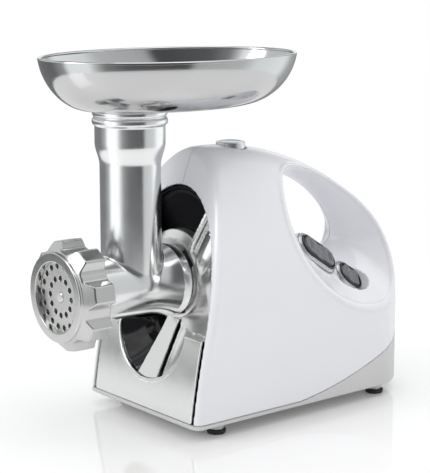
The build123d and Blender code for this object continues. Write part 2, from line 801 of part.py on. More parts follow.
with BuildPart() as front_bracket:
    with BuildSketch(facing_front(121, *motor_axis)):
        RectangleRounded(74, 66, 16)
        with PolarLocations(23.5, 5, start_angle=54):
            Circle(4.6, mode=Mode.SUBTRACT)
    extrude(amount=3)
    with BuildSketch(facing_front(118, *motor_axis)):
        Circle(13)
        with Locations(*bracket_ears):
            Circle(4)
    extrude(amount=118 - case_rear)
    with BuildSketch(facing_front(stack_front, *motor_axis)):
        with GridLocations(58, 36, 2, 2):
            Rectangle(7, 7)
    extrude(amount=stack_front - 121)
    with BuildSketch(facing_front(stack_front, *motor_axis)):
        with Locations(*through_bolts):
            Circle(bolt_hole_r)
    extrude(amount=24, mode=Mode.SUBTRACT)
    with BuildSketch(facing_front(122, *motor_axis)):
        Circle(10.0)
        with Locations(*bracket_ears):
            Circle(1.6)
    extrude(amount=20, mode=Mode.SUBTRACT)
save(front_bracket, "front_bracket")

with BuildPart() as rear_bracket:
    with BuildSketch(facing_front(226, *motor_axis)):
        RectangleRounded(65, 43, 4)
    extrude(amount=3)
    with BuildSketch(facing_front(223, *motor_axis)):
        Circle(10.5)
    extrude(amount=5.5)
    with BuildSketch(facing_front(223, *motor_axis)):
        with GridLocations(58, 36, 2, 2):
            Rectangle(7, 7)
    extrude(amount=223 - stack_rear)
    with BuildSketch(facing_front(224.6, *motor_axis)):
        Circle(8.0)
    extrude(amount=10, mode=Mode.SUBTRACT)
    with BuildSketch(facing_front(227, *motor_axis)):
        with Locations(*through_bolts):
            Circle(bolt_hole_r)
    extrude(amount=40, mode=Mode.SUBTRACT)
save(rear_bracket, "rear_bracket")

with BuildPart() as through_bolt_set:
    with BuildSketch(facing_front(226, *motor_axis)):
        with Locations(*through_bolts):
            Circle(bolt_hole_r - 0.08)
    extrude(amount=100)
    with BuildSketch(facing_front(228.6, *motor_axis)):
        with Locations(*through_bolts):
            Circle(3.6)
    extrude(amount=2.6)
save(through_bolt_set, "motor_through_bolts")

with BuildPart() as bracket_screw_set:
    with BuildSketch(facing_front(121, *motor_axis)):
        with Locations(*bracket_ears):
            Circle(tapping_r - 0.05)
    extrude(amount=12.6)
    with BuildSketch(facing_front(123.2, *motor_axis)):
        with Locations(*bracket_ears):
            Circle(2.7)
    extrude(amount=2.2)
save(bracket_screw_set, "bracket_screws")

for bearing_name, bearing_front, bearing_rear, outer_r in (
        ("front_bearing", 113.0, 120.0, 9.98), ("rear_bearing", 218.0, 224.2, 7.98)):
    with BuildPart() as bearing:
        revolve(ring_section(bearing_front, bearing_rear, shaft_r + 0.05, outer_r, *motor_axis),
                axis=drive_axis(*motor_axis))
    save(bearing, bearing_name)

for side_name, side in (("left", -1), ("right", 1)):
    with BuildPart() as brush_holder:
        with Locations((side * 20.0, st(209.5), motor_z)):
            Box(13, 9, 9)
            Box(14, 6.2, 6.2, mode=Mode.SUBTRACT)
        with Locations((side * 27.5, st(209.5), motor_z)):
            Box(3, 9, 29)
    save(brush_holder, f"brush_holder_{side_name}")
    with BuildPart() as carbon_brush:
        with Locations((side * 18.1, st(209.5), motor_z)):
            Box(13.8, 6, 6)
    save(carbon_brush, f"carbon_brush_{side_name}")

# ---- Grinding head -------------------------------------------------------------------
spigot_rear = 67.0
with BuildPart() as grinder_body:
    revolve(turned_section([
        (-67.5, 0), (-67.5, thread_r), (-50, thread_r), (-42, barrel_r), (21, barrel_r), (27, flange_r),
        (40, flange_r), (40, spigot_r), (spigot_rear, spigot_r), (spigot_rear, 0),
    ]), axis=drive_axis())
    with BuildSketch(Plane.XY.offset(head_z)):
        with Locations((0, tube_y)):
            Circle(tube_r)
    extrude(amount=104)
    revolve(turned_section([
        (0, 222), (tube_r, 222), (socket_r, 235), (socket_r, 251), (bead_r, 252.5), (bead_r, 262.5),
        (bead_r - 1.5, tube_top), (0, tube_top),
    ], z=0), axis=Axis((0, tube_y, 0), (0, 0, 1)))
    with BuildSketch(facing_front(55)):
        with PolarLocations(28, 3, start_angle=lug_angles[0]):
            Rectangle(3.0, 14)
        Circle(29.6, mode=Mode.INTERSECT)
    extrude(amount=4.5)
    revolve(turned_section([
        (-70, 0), (-70, seat_r), (plate_rear, seat_r), (plate_rear, 28), (-53, 28), (-50, bore_r), (34, bore_r),
        (34, 14), (70, 14), (70, 0),
    ]), axis=drive_axis(), mode=Mode.SUBTRACT)
    revolve(turned_section([
        (0, head_z), (tube_bore_r, head_z), (tube_bore_r, 229), (25, 238), (25, 270), (0, 270),
    ], z=0), axis=Axis((0, tube_y, 0), (0, 0, 1)), mode=Mode.SUBTRACT)
    with BuildSketch(side_plane()):
        with Locations((-66.25, head_z + 30.6)):
            Rectangle(2.5, 2.6)
    extrude(amount=1.5, both=True)
    revolve(ring_section(61.0, 66.0, 23.0, 28.0), axis=Axis((0, tube_y, head_z), (0, 1, 0)),
            mode=Mode.SUBTRACT)
# the one casting is kept as two nodes that meet in a plane just above the thread land
tube_foot = 154.0
with BuildPart() as barrel:
    add(grinder_body.part)
    split(bisect_by=Plane.XY.offset(tube_foot), keep=Keep.BOTTOM)
save(barrel, "grinder_body")
with BuildPart() as upright_tube:
    add(grinder_body.part)
    split(bisect_by=Plane.XY.offset(tube_foot), keep=Keep.TOP)
save(upright_tube, "upright_tube")

with BuildPart() as head_bush:
    revolve(ring_section(36, 45, 8.06, 13.97), axis=drive_axis())
save(head_bush, "head_bush")

screw_front, screw_rear = -53.0, 26.0
with BuildPart() as feed_screw:
    revolve(turned_section([
        (-70.4, 0), (-70.4, 3.5), (-69.9, 4.0), (plate_rear + 0.2, 4.0), (plate_rear + 0.2, 0),
    ]), axis=drive_axis())
    with BuildSketch(facing_front(-55.9)):
        Rectangle(8, 8)
    extrude(amount=8.4)
    revolve(turned_section([
        (-55.9, 0), (-55.9, 9), (28, 9), (28, 19.5), (32.2, 19.5), (32.2, 8), (47, 8), (47, 0),
    ]), axis=drive_axis())
    with BuildSketch(facing_front(63)):
        Rectangle(2 * socket_half - 0.4, 2 * socket_half - 0.4)
    extrude(amount=17)
    with BuildLine():
        turn = Helix(pitch=22, height=screw_rear - screw_front, radius=14, center=(0, st(screw_front), head_z),
                     direction=(0, 1, 0))
    with BuildSketch(Plane(origin=turn @ 0, x_dir=(turn @ 0) - Vector(0, st(screw_front), head_z), z_dir=turn % 0)):
        with BuildLine():
            Polyline((-6.8, -2.2), (6.8, -1.1), (6.8, 1.1), (-6.8, 2.2), close=True)
        make_face()
    sweep(path=turn, is_frenet=True)
save(feed_screw, "feed_screw")

with BuildPart() as thrust_washer:
    revolve(ring_section(32.4, 33.6, 8.1, 19.0), axis=drive_axis())
save(thrust_washer, "thrust_washer")

with BuildPart() as cutting_blade:
    with BuildSketch(facing_front(-56.1)):
        Circle(9)
        Rectangle(8.2, 8.2, mode=Mode.SUBTRACT)
    extrude(amount=8.1)
    with BuildSketch(facing_front(-60.2)):
        with PolarLocations(0, 4):
            with BuildLine():
                Polyline((6.5, -5.5), (26.0, -1.0), (26.6, 4.5), (16, 4.0), (6.5, 6.0), close=True)
            make_face()
        Rectangle(8.2, 8.2, mode=Mode.SUBTRACT)
    extrude(amount=4.0)
save(cutting_blade, "cutting_blade")

with BuildPart() as cutting_plate:
    with BuildSketch(facing_front(plate_rear)):
        Circle(plate_r)
        Circle(4.08, mode=Mode.SUBTRACT)
        with PolarLocations(25.0, 18):
            Circle(2.4, mode=Mode.SUBTRACT)
        with PolarLocations(15.0, 12):
            Circle(2.4, mode=Mode.SUBTRACT)
        with Locations((0, plate_r)):
            Rectangle(4.0, 6.4, mode=Mode.SUBTRACT)
    extrude(amount=plate_rear - plate_front)
save(cutting_plate, "cutting_plate")

with BuildPart() as ring_nut:
    with BuildSketch(facing_front(nut_rear)):
        Circle(nut_core_r)
        with PolarLocations(0, nut_lobes, start_angle=10):
            with BuildLine():
                Polyline((30, -10), (37, -10), (nut_lobe_r, -6.2), (nut_lobe_r, 6.2), (37, 10), (30, 10), close=True)
            make_face()
    extrude(amount=nut_rear - nut_front)
    revolve(turned_section([
        (nut_rear, 0), (nut_rear, 46), (-68.5, 46), (-73.5, 37.2), (nut_front, 36.4), (nut_front, 0),
    ]), axis=drive_axis(), mode=Mode.INTERSECT)
    revolve(turned_section([
        (-80, 0), (-80, nut_opening_r), (plate_front - 0.05, nut_opening_r), (plate_front - 0.05, 35.0), (-40, 35.0),
        (-40, 0),
    ]), axis=drive_axis(), mode=Mode.SUBTRACT)
save(ring_nut, "ring_nut")

# ---- Tray ----------------------------------------------------------------------------
tray_rim_z = 306.0
tray_sheet = 1.6
# height, station of the middle, half length, half width
tray_rings = [(264.1, 37.0, 78.0, 50.0), (271.0, 39.5, 95.0, 65.0), (287.0, 41.0, 110.0, 78.0),
              (306.0, 41.5, 116.5, 83.6)]


def tray_form(inset):
    with BuildPart() as form:
        for z, y, half_length, half_wide_ in tray_rings:
            level = tray_rim_z + inset if z == tray_rim_z else z + inset
            with BuildSketch(Plane.XY.offset(level)):
                with Locations((0, st(y))):
                    Ellipse(half_wide_ - inset, half_length - inset)
        loft()
    return form.part


tray_outside = tray_form(0.0)
tray_inside = tray_form(tray_sheet)
with BuildPart() as hopper_tray:
    add(tray_outside)
    with BuildSketch(Plane.XY.offset(242)):
        with Locations((0, tube_y)):
            Circle(24.6)
    extrude(amount=25)
    add(tray_inside, mode=Mode.SUBTRACT)
    with BuildSketch(Plane.XY.offset(240)):
        with Locations((0, tube_y)):
            Circle(22.6)
    extrude(amount=40, mode=Mode.SUBTRACT)
save(hopper_tray, "hopper_tray")

# ---- Cord inlet and screws -----------------------------------------------------------
with BuildPart() as cord_inlet:
    revolve(turned_section([
        (254, 3.75), (271, 3.75), (271, 6.4), (268.1, 8.4), (268.1, 6.4), (265.0, 6.4), (265.0, 8.4), (254, 8.4),
    ], z=inlet_z), axis=drive_axis(z=inlet_z))
save(cord_inlet, "cord_inlet")

with BuildPart() as base_screws:
    for boss_x, boss_y in base_bosses:
        for side in (-1, 1):
            with Locations((side * boss_x, st(boss_y), body_bottom)):
                Cone(3.2, 1.3, 1.6, align=(Align.CENTER, Align.CENTER, Align.MIN))
                Cylinder(1.3, 20, align=(Align.CENTER, Align.CENTER, Align.MIN))
save(base_screws, "base_screws")

with BuildPart() as case_screws:
    with BuildSketch(Plane.YZ.offset(-8)):
        for boss_y, boss_z in case_bosses:
            with Locations((st(boss_y), boss_z)):
                Circle(1.25)
    extrude(amount=20)
    with BuildSketch(Plane.YZ.offset(-6.2)):
        for boss_y, boss_z in case_bosses:
            with Locations((st(boss_y), boss_z)):
                Circle(2.9)
    extrude(amount=2.1)
save(case_screws, "case_screws")

with BuildPart() as gearbox_screw_set:
    with BuildSketch(facing_front(case_rear + 0.1 + 2, z=0)):
        with Locations(*gearbox_screws):
            Circle(3.0)
    extrude(amount=2)
    with BuildSketch(facing_front(case_rear + 0.1, z=0)):
        with Locations(*gearbox_screws):
            Circle(1.3)
    extrude(amount=14)
save(gearbox_screw_set, "gearbox_screws")
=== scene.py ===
import bmesh
import bpy
import json
import math
import numpy as np
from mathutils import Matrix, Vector


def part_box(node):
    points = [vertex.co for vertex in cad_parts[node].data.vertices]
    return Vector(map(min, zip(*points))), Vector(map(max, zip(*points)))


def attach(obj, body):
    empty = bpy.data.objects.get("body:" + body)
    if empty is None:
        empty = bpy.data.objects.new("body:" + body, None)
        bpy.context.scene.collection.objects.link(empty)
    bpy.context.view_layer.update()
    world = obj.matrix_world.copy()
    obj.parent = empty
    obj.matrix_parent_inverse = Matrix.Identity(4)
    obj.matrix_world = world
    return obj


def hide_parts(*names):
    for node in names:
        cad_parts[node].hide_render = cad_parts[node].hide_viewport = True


# Electric meat grinder.  Shapes are distance fields in millimetres over (x, s, z), where s is
# the station behind the upright feed tube; they are meshed on a grid and pulled onto the field.
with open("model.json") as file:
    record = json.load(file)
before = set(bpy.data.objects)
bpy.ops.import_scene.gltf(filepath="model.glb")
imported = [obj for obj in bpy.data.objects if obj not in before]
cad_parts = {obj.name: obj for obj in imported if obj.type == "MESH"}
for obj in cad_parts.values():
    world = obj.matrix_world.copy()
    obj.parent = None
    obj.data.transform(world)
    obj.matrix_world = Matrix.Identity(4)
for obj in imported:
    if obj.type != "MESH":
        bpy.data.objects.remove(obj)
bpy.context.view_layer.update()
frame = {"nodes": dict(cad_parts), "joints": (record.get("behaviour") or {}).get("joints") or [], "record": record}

mounts = {m["name"]: m for m in frame["record"]["mounts"]}
TUBE_Y = mounts["tray_neck"]["pos_m"][1] * 1000.0
joints = {j["name"]: j for j in frame["joints"]}
HEAD_Z = joints["head_turn"]["pos_m"][2] * 1000.0
MM = 0.001
RELAX_PASSES = 2       # smoothing rounds after a field has been meshed
CREASE_DOT = 0.55      # below this the mesh normal is kept instead of the field's


# ---------------------------------------------------------------- distance-field tools
def smax(a, b, r):
    """Intersection of two fields with a round of size r along their meeting line."""
    h = np.maximum(r - np.abs(a - b), 0.0)
    return np.maximum(a, b) + h * h * (0.25 / r)


def smin(a, b, r):
    """Union of two fields with a fillet of size r."""
    return -smax(-a, -b, r)


def true_distance(fn, x, s, z, e=0.4):
    """A level function divided by the length of its own gradient."""
    gx = fn(x + e, s, z) - fn(x - e, s, z)
    gs = fn(x, s + e, z) - fn(x, s - e, z)
    gz = fn(x, s, z + e) - fn(x, s, z - e)
    g = np.sqrt(gx * gx + gs * gs + gz * gz) / (2 * e)
    return fn(x, s, z) / np.maximum(g, 1e-4)


def box2(a, b, half_a, half_b, r=0.0):
    """Rectangle with corners of radius r."""
    qa = np.abs(a) - (half_a - r)
    qb = np.abs(b) - (half_b - r)
    return np.hypot(np.maximum(qa, 0), np.maximum(qb, 0)) + np.minimum(np.maximum(qa, qb), 0) - r


def slot2(a, b, half_a, half_b):
    """Slot with round ends, long in a."""
    return np.hypot(np.maximum(np.abs(a) - (half_a - half_b), 0), b) - half_b


def slab(v, low, high):
    """Layer between two parallel planes."""
    return np.maximum(low - v, v - high)


def cone(t, r, t0, r0, t1, r1):
    """Signed distance to the side of a cone through (t0, r0) and (t1, r1)."""
    length = math.hypot(t1 - t0, r1 - r0)
    return ((r - r0) * (t1 - t0) - (t - t0) * (r1 - r0)) / length


def surface_mesh(fn, low, high, h):
    """Dual-grid surface of fn = 0 in the box low..high, with its vertices pulled onto the surface."""
    low = np.array(low, float)
    counts = [int(math.ceil((b - a) / h)) + 1 for a, b in zip(low, high)]
    axes = [low[i] + h * np.arange(counts[i]) for i in range(3)]
    x, s, z = np.meshgrid(*axes, indexing="ij", sparse=True)
    f = np.empty(counts)
    step = max(4, int(6e5 / (counts[1] * counts[2])))
    for i in range(0, counts[0], step):
        part = x[i:i + step]
        f[i:i + step] = fn(part + 0 * s + 0 * z, s + 0 * part + 0 * z, z + 0 * part + 0 * s)
    inside = f < 0
    n = [c - 1 for c in counts]
    corner = [(i, j, k) for i in (0, 1) for j in (0, 1) for k in (0, 1)]

    def view(a, c):
        return a[c[0]:c[0] + n[0], c[1]:c[1] + n[1], c[2]:c[2] + n[2]]

    total = sum(view(inside, c).astype(np.int8) for c in corner)
    active = (total > 0) & (total < 8)
    cells = np.argwhere(active)
    index = np.full(n, -1, np.int64)
    index[active] = np.arange(len(cells))
    points = np.zeros((len(cells), 3))
    weight = np.zeros(len(cells))
    for ca in corner:
        for axis in range(3):
            if ca[axis]:
                continue
            cb = tuple(1 if i == axis else ca[i] for i in range(3))
            fa, fb = view(f, ca)[active], view(f, cb)[active]
            cut = (fa < 0) != (fb < 0)
            t = np.where(cut, fa / np.where(cut, fa - fb, 1), 0)
            p = np.array(ca, float)[None, :] + t[:, None] * np.eye(3)[axis][None, :]
            points[cut] += p[cut]
            weight[cut] += 1
    verts = low + h * (cells + points / weight[:, None])
    quads = []
    for axis in range(3):
        u, v = [i for i in range(3) if i != axis]
        a = np.take(inside, np.arange(n[axis]), axis)
        b = np.take(inside, np.arange(1, n[axis] + 1), axis)
        edges = np.argwhere(a != b)
        edges = edges[(edges[:, u] > 0) & (edges[:, v] > 0) & (edges[:, u] < n[u]) & (edges[:, v] < n[v])]
        first = a[tuple(edges.T)]
        ring = []
        for du, dv in ((0, 0), (1, 0), (1, 1), (0, 1)):
            c = edges.copy()
            c[:, u] -= du
            c[:, v] -= dv
            ring.append(index[tuple(c.T)])
        q = np.stack(ring, 1)
        flip = first if axis != 1 else ~first
        q[~flip] = q[~flip][:, ::-1]
        quads.append(q)
    quads = np.concatenate(quads)
    links = np.concatenate([quads[:, [i, (i + 1) % 4]] for i in range(4)])

    def pull(p, times):
        for _ in range(times):
            d, g = value_and_gradient(fn, p)
            move = np.clip(d / np.maximum((g * g).sum(1), 0.05), -h, h)
            p = p - move[:, None] * g
        return p

    verts = pull(verts, 2)
    for _ in range(RELAX_PASSES):
        mean = np.zeros_like(verts)
        for c in range(3):
            mean[:, c] = np.bincount(links[:, 0], verts[links[:, 1], c], len(verts))
            mean[:, c] += np.bincount(links[:, 1], verts[links[:, 0], c], len(verts))
        degree = np.bincount(links.ravel(), minlength=len(verts))
        verts = pull(0.5 * verts + 0.5 * mean / degree[:, None], 2)
    _, g = value_and_gradient(fn, verts)
    g /= np.maximum(np.linalg.norm(g, axis=1), 1e-6)[:, None]
    return verts, quads, g


def value_and_gradient(fn, p, e=0.12):
    """The field and its slope at an array of points."""
    x, s, z = p[:, 0], p[:, 1], p[:, 2]
    d = fn(x, s, z)
    g = np.stack([
        fn(x + e, s, z) - fn(x - e, s, z),
        fn(x, s + e, z) - fn(x, s - e, z),
        fn(x, s, z + e) - fn(x, s, z - e),
    ], 1) / (2 * e)
    return d, g


def add_mesh(name, verts, faces, body, material, nodes=(), normals=None):
    """A mesh from (x, station, z) millimetres, riding on a body."""
    p = np.array(verts, float)
    p = np.stack([p[:, 0], p[:, 1] + TUBE_Y, p[:, 2]], 1) * MM
    me = bpy.data.meshes.new(name)
    me.from_pydata(p.tolist(), [], [list(map(int, q)) for q in faces])
    me.polygons.foreach_set("use_smooth", [True] * len(me.polygons))
    if normals is not None:
        me.normals_split_custom_set_from_vertices(agreed(me, normals).tolist())
    me.materials.append(material)
    o = bpy.data.objects.new(name, me)
    bpy.context.scene.collection.objects.link(o)
    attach(o, body)
    if nodes:
        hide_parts(*nodes)
    return o


def agreed(me, normals):
    """The field's normals, or the mesh's own where a crease makes the two disagree."""
    own = np.array([v.vector[:] for v in me.vertex_normals])
    return np.where(((own * normals).sum(1) < CREASE_DOT)[:, None], own, normals)


def field_piece(name, fn, low, high, h, body, material, nodes=()):
    """A distance field meshed on a grid of step h between two corners."""
    verts, quads, normals = surface_mesh(fn, low, high, h)
    return add_mesh(name, verts, quads, body, material, nodes, normals)


def lathe(name, section, axis, centre, body, material, nodes=(), steps=128, bevel=0.5):
    """Turned piece from a closed (station or height, radius) polygon whose corners are rounded."""
    ring = []
    pts = [Vector(p) for p in section]
    for i, p in enumerate(pts):
        a, b = pts[i - 1], pts[(i + 1) % len(pts)]
        da, db = a - p, b - p
        cut = min(bevel, 0.45 * da.length, 0.45 * db.length)
        if p.y < 1e-6 or cut < 0.02:
            ring.append(p)
            continue
        p0, p2 = p + da.normalized() * cut, p + db.normalized() * cut
        ring += [p0.lerp(p, t).lerp(p.lerp(p2, t), t) for t in (0, 0.25, 0.5, 0.75, 1)]
    verts, faces = [], []
    n = len(ring)
    for i in range(steps):
        a = 2 * math.pi * i / steps
        for p in ring:
            if axis == "s":
                verts.append((centre[0] + p.y * math.cos(a), p.x, centre[1] + p.y * math.sin(a)))
            else:
                verts.append((centre[0] + p.y * math.cos(a), centre[1] + p.y * math.sin(a), p.x))
    for i in range(steps):
        j = (i + 1) % steps
        for k in range(n):
            m = (k + 1) % n
            faces.append((i * n + k, i * n + m, j * n + m, j * n + k))
    o = add_mesh(name, verts, faces, body, material, nodes)
    tidy(o)
    return o


def tidy(o, angle=35):
    """Welds doubled points, makes normals consistent and marks only true corners as sharp."""
    bm = bmesh.new()
    bm.from_mesh(o.data)
    bmesh.ops.remove_doubles(bm, verts=bm.verts, dist=2e-6)
    bmesh.ops.dissolve_degenerate(bm, edges=bm.edges, dist=1e-6)
    bmesh.ops.recalc_face_normals(bm, faces=bm.faces)
    bm.to_mesh(o.data)
    bm.free()
    o.data.set_sharp_from_angle(angle=math.radians(angle))


# ---------------------------------------------------------------- materials
def surface(name, colour, metallic, rough, tint=0.03, rough_span=0.06, grain=60.0, bump=0.0,
            bump_grain=900.0, stretch=(1, 1, 1), coat=0.0, specular=0.5):
    """Procedural finish: slow colour drift, uneven gloss and a fine relief, all from object coordinates."""
    m = bpy.data.materials.new(name)
    m.use_nodes = True
    nt = m.node_tree
    bsdf = nt.nodes["Principled BSDF"]
    bsdf.inputs["Metallic"].default_value = metallic
    bsdf.inputs["Coat Weight"].default_value = coat
    bsdf.inputs["Coat Roughness"].default_value = 0.05
    bsdf.inputs["Specular IOR Level"].default_value = specular
    coord = nt.nodes.new("ShaderNodeTexCoord")

    def noise(scale, detail, squeeze=(1, 1, 1)):
        mapping = nt.nodes.new("ShaderNodeMapping")
        mapping.inputs["Scale"].default_value = squeeze
        node = nt.nodes.new("ShaderNodeTexNoise")
        node.inputs["Scale"].default_value = scale
        node.inputs["Detail"].default_value = detail
        nt.links.new(coord.outputs["Object"], mapping.inputs["Vector"])
        nt.links.new(mapping.outputs["Vector"], node.inputs["Vector"])
        return node

    slow = noise(grain, 3)
    ramp = nt.nodes.new("ShaderNodeValToRGB")
    ramp.color_ramp.elements[0].position = 0.3
    ramp.color_ramp.elements[1].position = 0.7
    ramp.color_ramp.elements[0].color = [c * (1 - tint) for c in colour] + [1]
    ramp.color_ramp.elements[1].color = [min(1, c * (1 + tint)) for c in colour] + [1]
    nt.links.new(slow.outputs["Fac"], ramp.inputs["Fac"])
    nt.links.new(ramp.outputs["Color"], bsdf.inputs["Base Color"])
    gloss = noise(grain * 2.3, 4, stretch)
    span = nt.nodes.new("ShaderNodeMapRange")
    span.inputs["From Min"].default_value = 0.3
    span.inputs["From Max"].default_value = 0.7
    span.inputs["To Min"].default_value = max(0.0, rough - rough_span / 2)
    span.inputs["To Max"].default_value = rough + rough_span / 2
    nt.links.new(gloss.outputs["Fac"], span.inputs["Value"])
    nt.links.new(span.outputs["Result"], bsdf.inputs["Roughness"])
    if bump:
        relief = noise(bump_grain, 5, stretch)
        node = nt.nodes.new("ShaderNodeBump")
        node.inputs["Strength"].default_value = bump
        node.inputs["Distance"].default_value = 0.0004
        nt.links.new(relief.outputs["Fac"], node.inputs["Height"])
        nt.links.new(node.outputs["Normal"], bsdf.inputs["Normal"])
    return m


MAT = {
    "housing": surface("white_gloss", (0.815, 0.82, 0.855), 0, 0.20, 0.006, 0.05, 12, 0.012, 260, coat=0.35),
    "base": surface("base_grey", (0.62, 0.62, 0.62), 0, 0.34, 0.012, 0.08, 30, 0.05, 1400),
    "foot_rubber": surface("black_rubber", (0.018, 0.018, 0.019), 0, 0.62, 0.2, 0.15, 120, 0.25, 1500),
    "chrome_panel": surface("panel_silver", (0.83, 0.83, 0.825), 1, 0.20, 0.008, 0.05, 25, 0.02, 900),
    "recess_black": surface("recess_gloss", (0.006, 0.006, 0.008), 0, 0.30, 0.2, 0.05, 20, 0.01, 120,
                            specular=0.08),
    "collar_chrome": surface("collar_satin", (0.90, 0.90, 0.89), 1, 0.36, 0.02, 0.06, 40, 0.03, 700),
    "button_metal": surface("button_satin", (0.74, 0.75, 0.77), 1, 0.30, 0.03, 0.08, 90, 0.05, 1500),
    "latch_plastic": surface("acetal_grey", (0.22, 0.22, 0.24), 0, 0.42, 0.05, 0.1, 80, 0.05, 900),
    "spring_steel": surface("spring_wire", (0.56, 0.56, 0.57), 1, 0.28, 0.05, 0.1, 200, 0.05, 2500),
    "bezel_chrome": surface("bezel_chrome", (0.55, 0.55, 0.57), 1, 0.12, 0.02, 0.04, 60, 0.01, 500),
    "rocker_grey": surface("rocker_grey", (0.13, 0.135, 0.145), 0, 0.30, 0.08, 0.10, 150, 0.10, 2600),
    "switch_black": surface("switch_black", (0.014, 0.014, 0.016), 0, 0.22, 0.15, 0.08, 90, 0.04, 1600),
    "gear_nylon": surface("nylon_natural", (0.74, 0.71, 0.60), 0, 0.42, 0.04, 0.1, 60, 0.06, 1000),
    "gear_steel": surface("gear_steel", (0.45, 0.45, 0.46), 1, 0.34, 0.06, 0.12, 120, 0.10, 1700),
    "shaft_steel": surface("ground_steel", (0.60, 0.60, 0.62), 1, 0.22, 0.03, 0.08, 90, 0.06, 2600,
                           (0.1, 1, 0.1)),
    "bush_bronze": surface("sintered_bronze", (0.52, 0.34, 0.16), 1, 0.42, 0.10, 0.14, 160, 0.20, 3000),
    "gearbox_plastic": surface("glass_filled_black", (0.035, 0.035, 0.037), 0, 0.48, 0.15, 0.12, 70,
                               0.18, 1300),
    "lamination": surface("stacked_laminations", (0.30, 0.30, 0.31), 1, 0.46, 0.10, 0.1, 120, 0.5, 1800,
                          (0.01, 1, 0.01)),
    "copper": surface("enamelled_copper", (0.62, 0.25, 0.09), 1, 0.28, 0.10, 0.1, 160, 0.45, 1500,
                      (1, 0.05, 1)),
    "motor_bracket": surface("zinc_plate", (0.48, 0.49, 0.50), 1, 0.36, 0.06, 0.12, 45, 0.06, 900),
    "carbon": surface("pressed_carbon", (0.03, 0.03, 0.03), 0, 0.55, 0.2, 0.1, 200, 0.25, 2500),
    "fan_plastic": surface("fan_plastic", (0.05, 0.05, 0.052), 0, 0.45, 0.1, 0.1, 80, 0.08, 1200),
    "cast_aluminium": surface("polished_casting", (0.84, 0.84, 0.845), 1, 0.20, 0.015, 0.05, 30, 0.02, 160),
    "tray_aluminium": surface("spun_aluminium", (0.57, 0.57, 0.575), 1, 0.12, 0.012, 0.05, 24, 0.03, 500,
                              (0.03, 0.03, 1)),
    "blade_steel": surface("ground_blade", (0.66, 0.66, 0.66), 1, 0.34, 0.03, 0.08, 100, 0.08, 2400,
                           (1, 0.1, 0.1)),
    "plate_steel": surface("satin_plate", (0.68, 0.68, 0.67), 1, 0.38, 0.03, 0.08, 120, 0.05, 1800),
    "screw_steel": surface("zinc_screw", (0.50, 0.50, 0.52), 1, 0.30, 0.05, 0.1, 200, 0.08, 2000),
    "grommet_rubber": surface("grommet_rubber", (0.022, 0.022, 0.023), 0, 0.58, 0.2, 0.12, 140, 0.2, 1500),
}
SCOOP = surface("scoop_gloss", (0.008, 0.008, 0.010), 0, 0.06, 0.2, 0.03, 20, 0.02, 60, coat=0.5)
NUT = surface("satin_casting", (0.62, 0.62, 0.615), 1, 0.21, 0.02, 0.07, 40, 0.03, 900)

slot_of = {p["node"]: p["material_slot"] for p in frame["record"]["subparts"]}
for node_name, node in frame["nodes"].items():
    node.data.materials.clear()
    node.data.materials.append(MAT[slot_of[node_name]])


# ---------------------------------------------------------------- the housing's field
BOTTOM, SHOULDER, CROWN = 10.0, 80.0, 228.0          # heights of the seam's foot, widest belt and top
REAR, ROUND_FROM, HALF, WALL = 268.0, 215.0, 76.0, 3.0
LONG_R, LONG_TURN, LONG_FROM = 260.0, math.radians(38), 75.0   # the crown's long arc; a tighter one ends it
END_S = LONG_FROM + LONG_R * math.sin(LONG_TURN)
END_Z = CROWN - LONG_R * (1 - math.cos(LONG_TURN))
TIGHT_R = (REAR - END_S) / (1 - math.sin(LONG_TURN))


def crown(s):
    """Height of the back's ridge over each station."""
    long_arc = CROWN - LONG_R + np.sqrt(LONG_R**2 - np.clip(s - LONG_FROM, 0, 200.0) ** 2)
    sine = np.clip(math.sin(LONG_TURN) + (s - END_S) / TIGHT_R, 0, 1)
    tight = END_Z - TIGHT_R * (math.cos(LONG_TURN) - np.sqrt(1 - sine**2))
    return np.where(s < END_S, long_arc, tight)


def body_level(x, s, z):
    """Elliptical cross sections under the crown, rounded in plan at the rear."""
    q = np.maximum(z - SHOULDER, 0) / (crown(s) - SHOULDER)
    run = np.maximum(s - ROUND_FROM, 0) / (REAR + 0.6 - ROUND_FROM)
    return np.sqrt(np.maximum((x / HALF) ** 2 + q**2 + run**2 * np.maximum(1 - q**2, 0), 1e-9)) - 1


FRONT_FOOT, FRONT_LEAN, FRONT_CURL, FRONT_Z = 8.4, 0.141, 0.000594, 18


def front_station(z):
    """Station of the front face, which leans back and curls more with height."""
    return FRONT_FOOT + FRONT_LEAN * (z - FRONT_Z) + FRONT_CURL * (z - FRONT_Z) ** 2


def front_depth(s, z):
    """Distance behind the leaning front face."""
    slope = FRONT_LEAN + 2 * FRONT_CURL * (z - FRONT_Z)
    return (s - front_station(z)) / np.sqrt(1 + slope**2)


# hand hole: ovals (station, height, half length, half width, tilt) at four distances from the centre plane
OVAL_SPANS = np.array([0.0, 22.0, 44.0, 80.0])
OVALS = np.array([
    (178.5, 162.0, 52.0, 22.5, -37.0),
    (180.0, 163.5, 57.0, 28.0, -38.0),
    (182.0, 164.0, 68.0, 41.0, -41.0),
    (178.0, 158.0, 92.0, 58.0, -46.0),
])
OVAL_FIT = np.linalg.solve(np.stack([OVAL_SPANS**p for p in (0, 2, 3, 4)], 1), OVALS)
LEFT_FLARE, FLARE_END = 1.9, 84.0


def funnel_level(x, s, z):
    """The hand hole, widening outwards and faster on the left."""
    a = np.clip(np.where(x < 0, -LEFT_FLARE * x, x), 0, FLARE_END)
    cs, cz, length, width, tilt = [c[0] + c[1] * a**2 + c[2] * a**3 + c[3] * a**4 for c in OVAL_FIT.T]
    t = np.radians(tilt)
    u = (s - cs) * np.cos(t) + (z - cz) * np.sin(t)
    v = -(s - cs) * np.sin(t) + (z - cz) * np.cos(t)
    return np.sqrt((u / length) ** 2 + (v / width) ** 2 + 1e-9) - 1


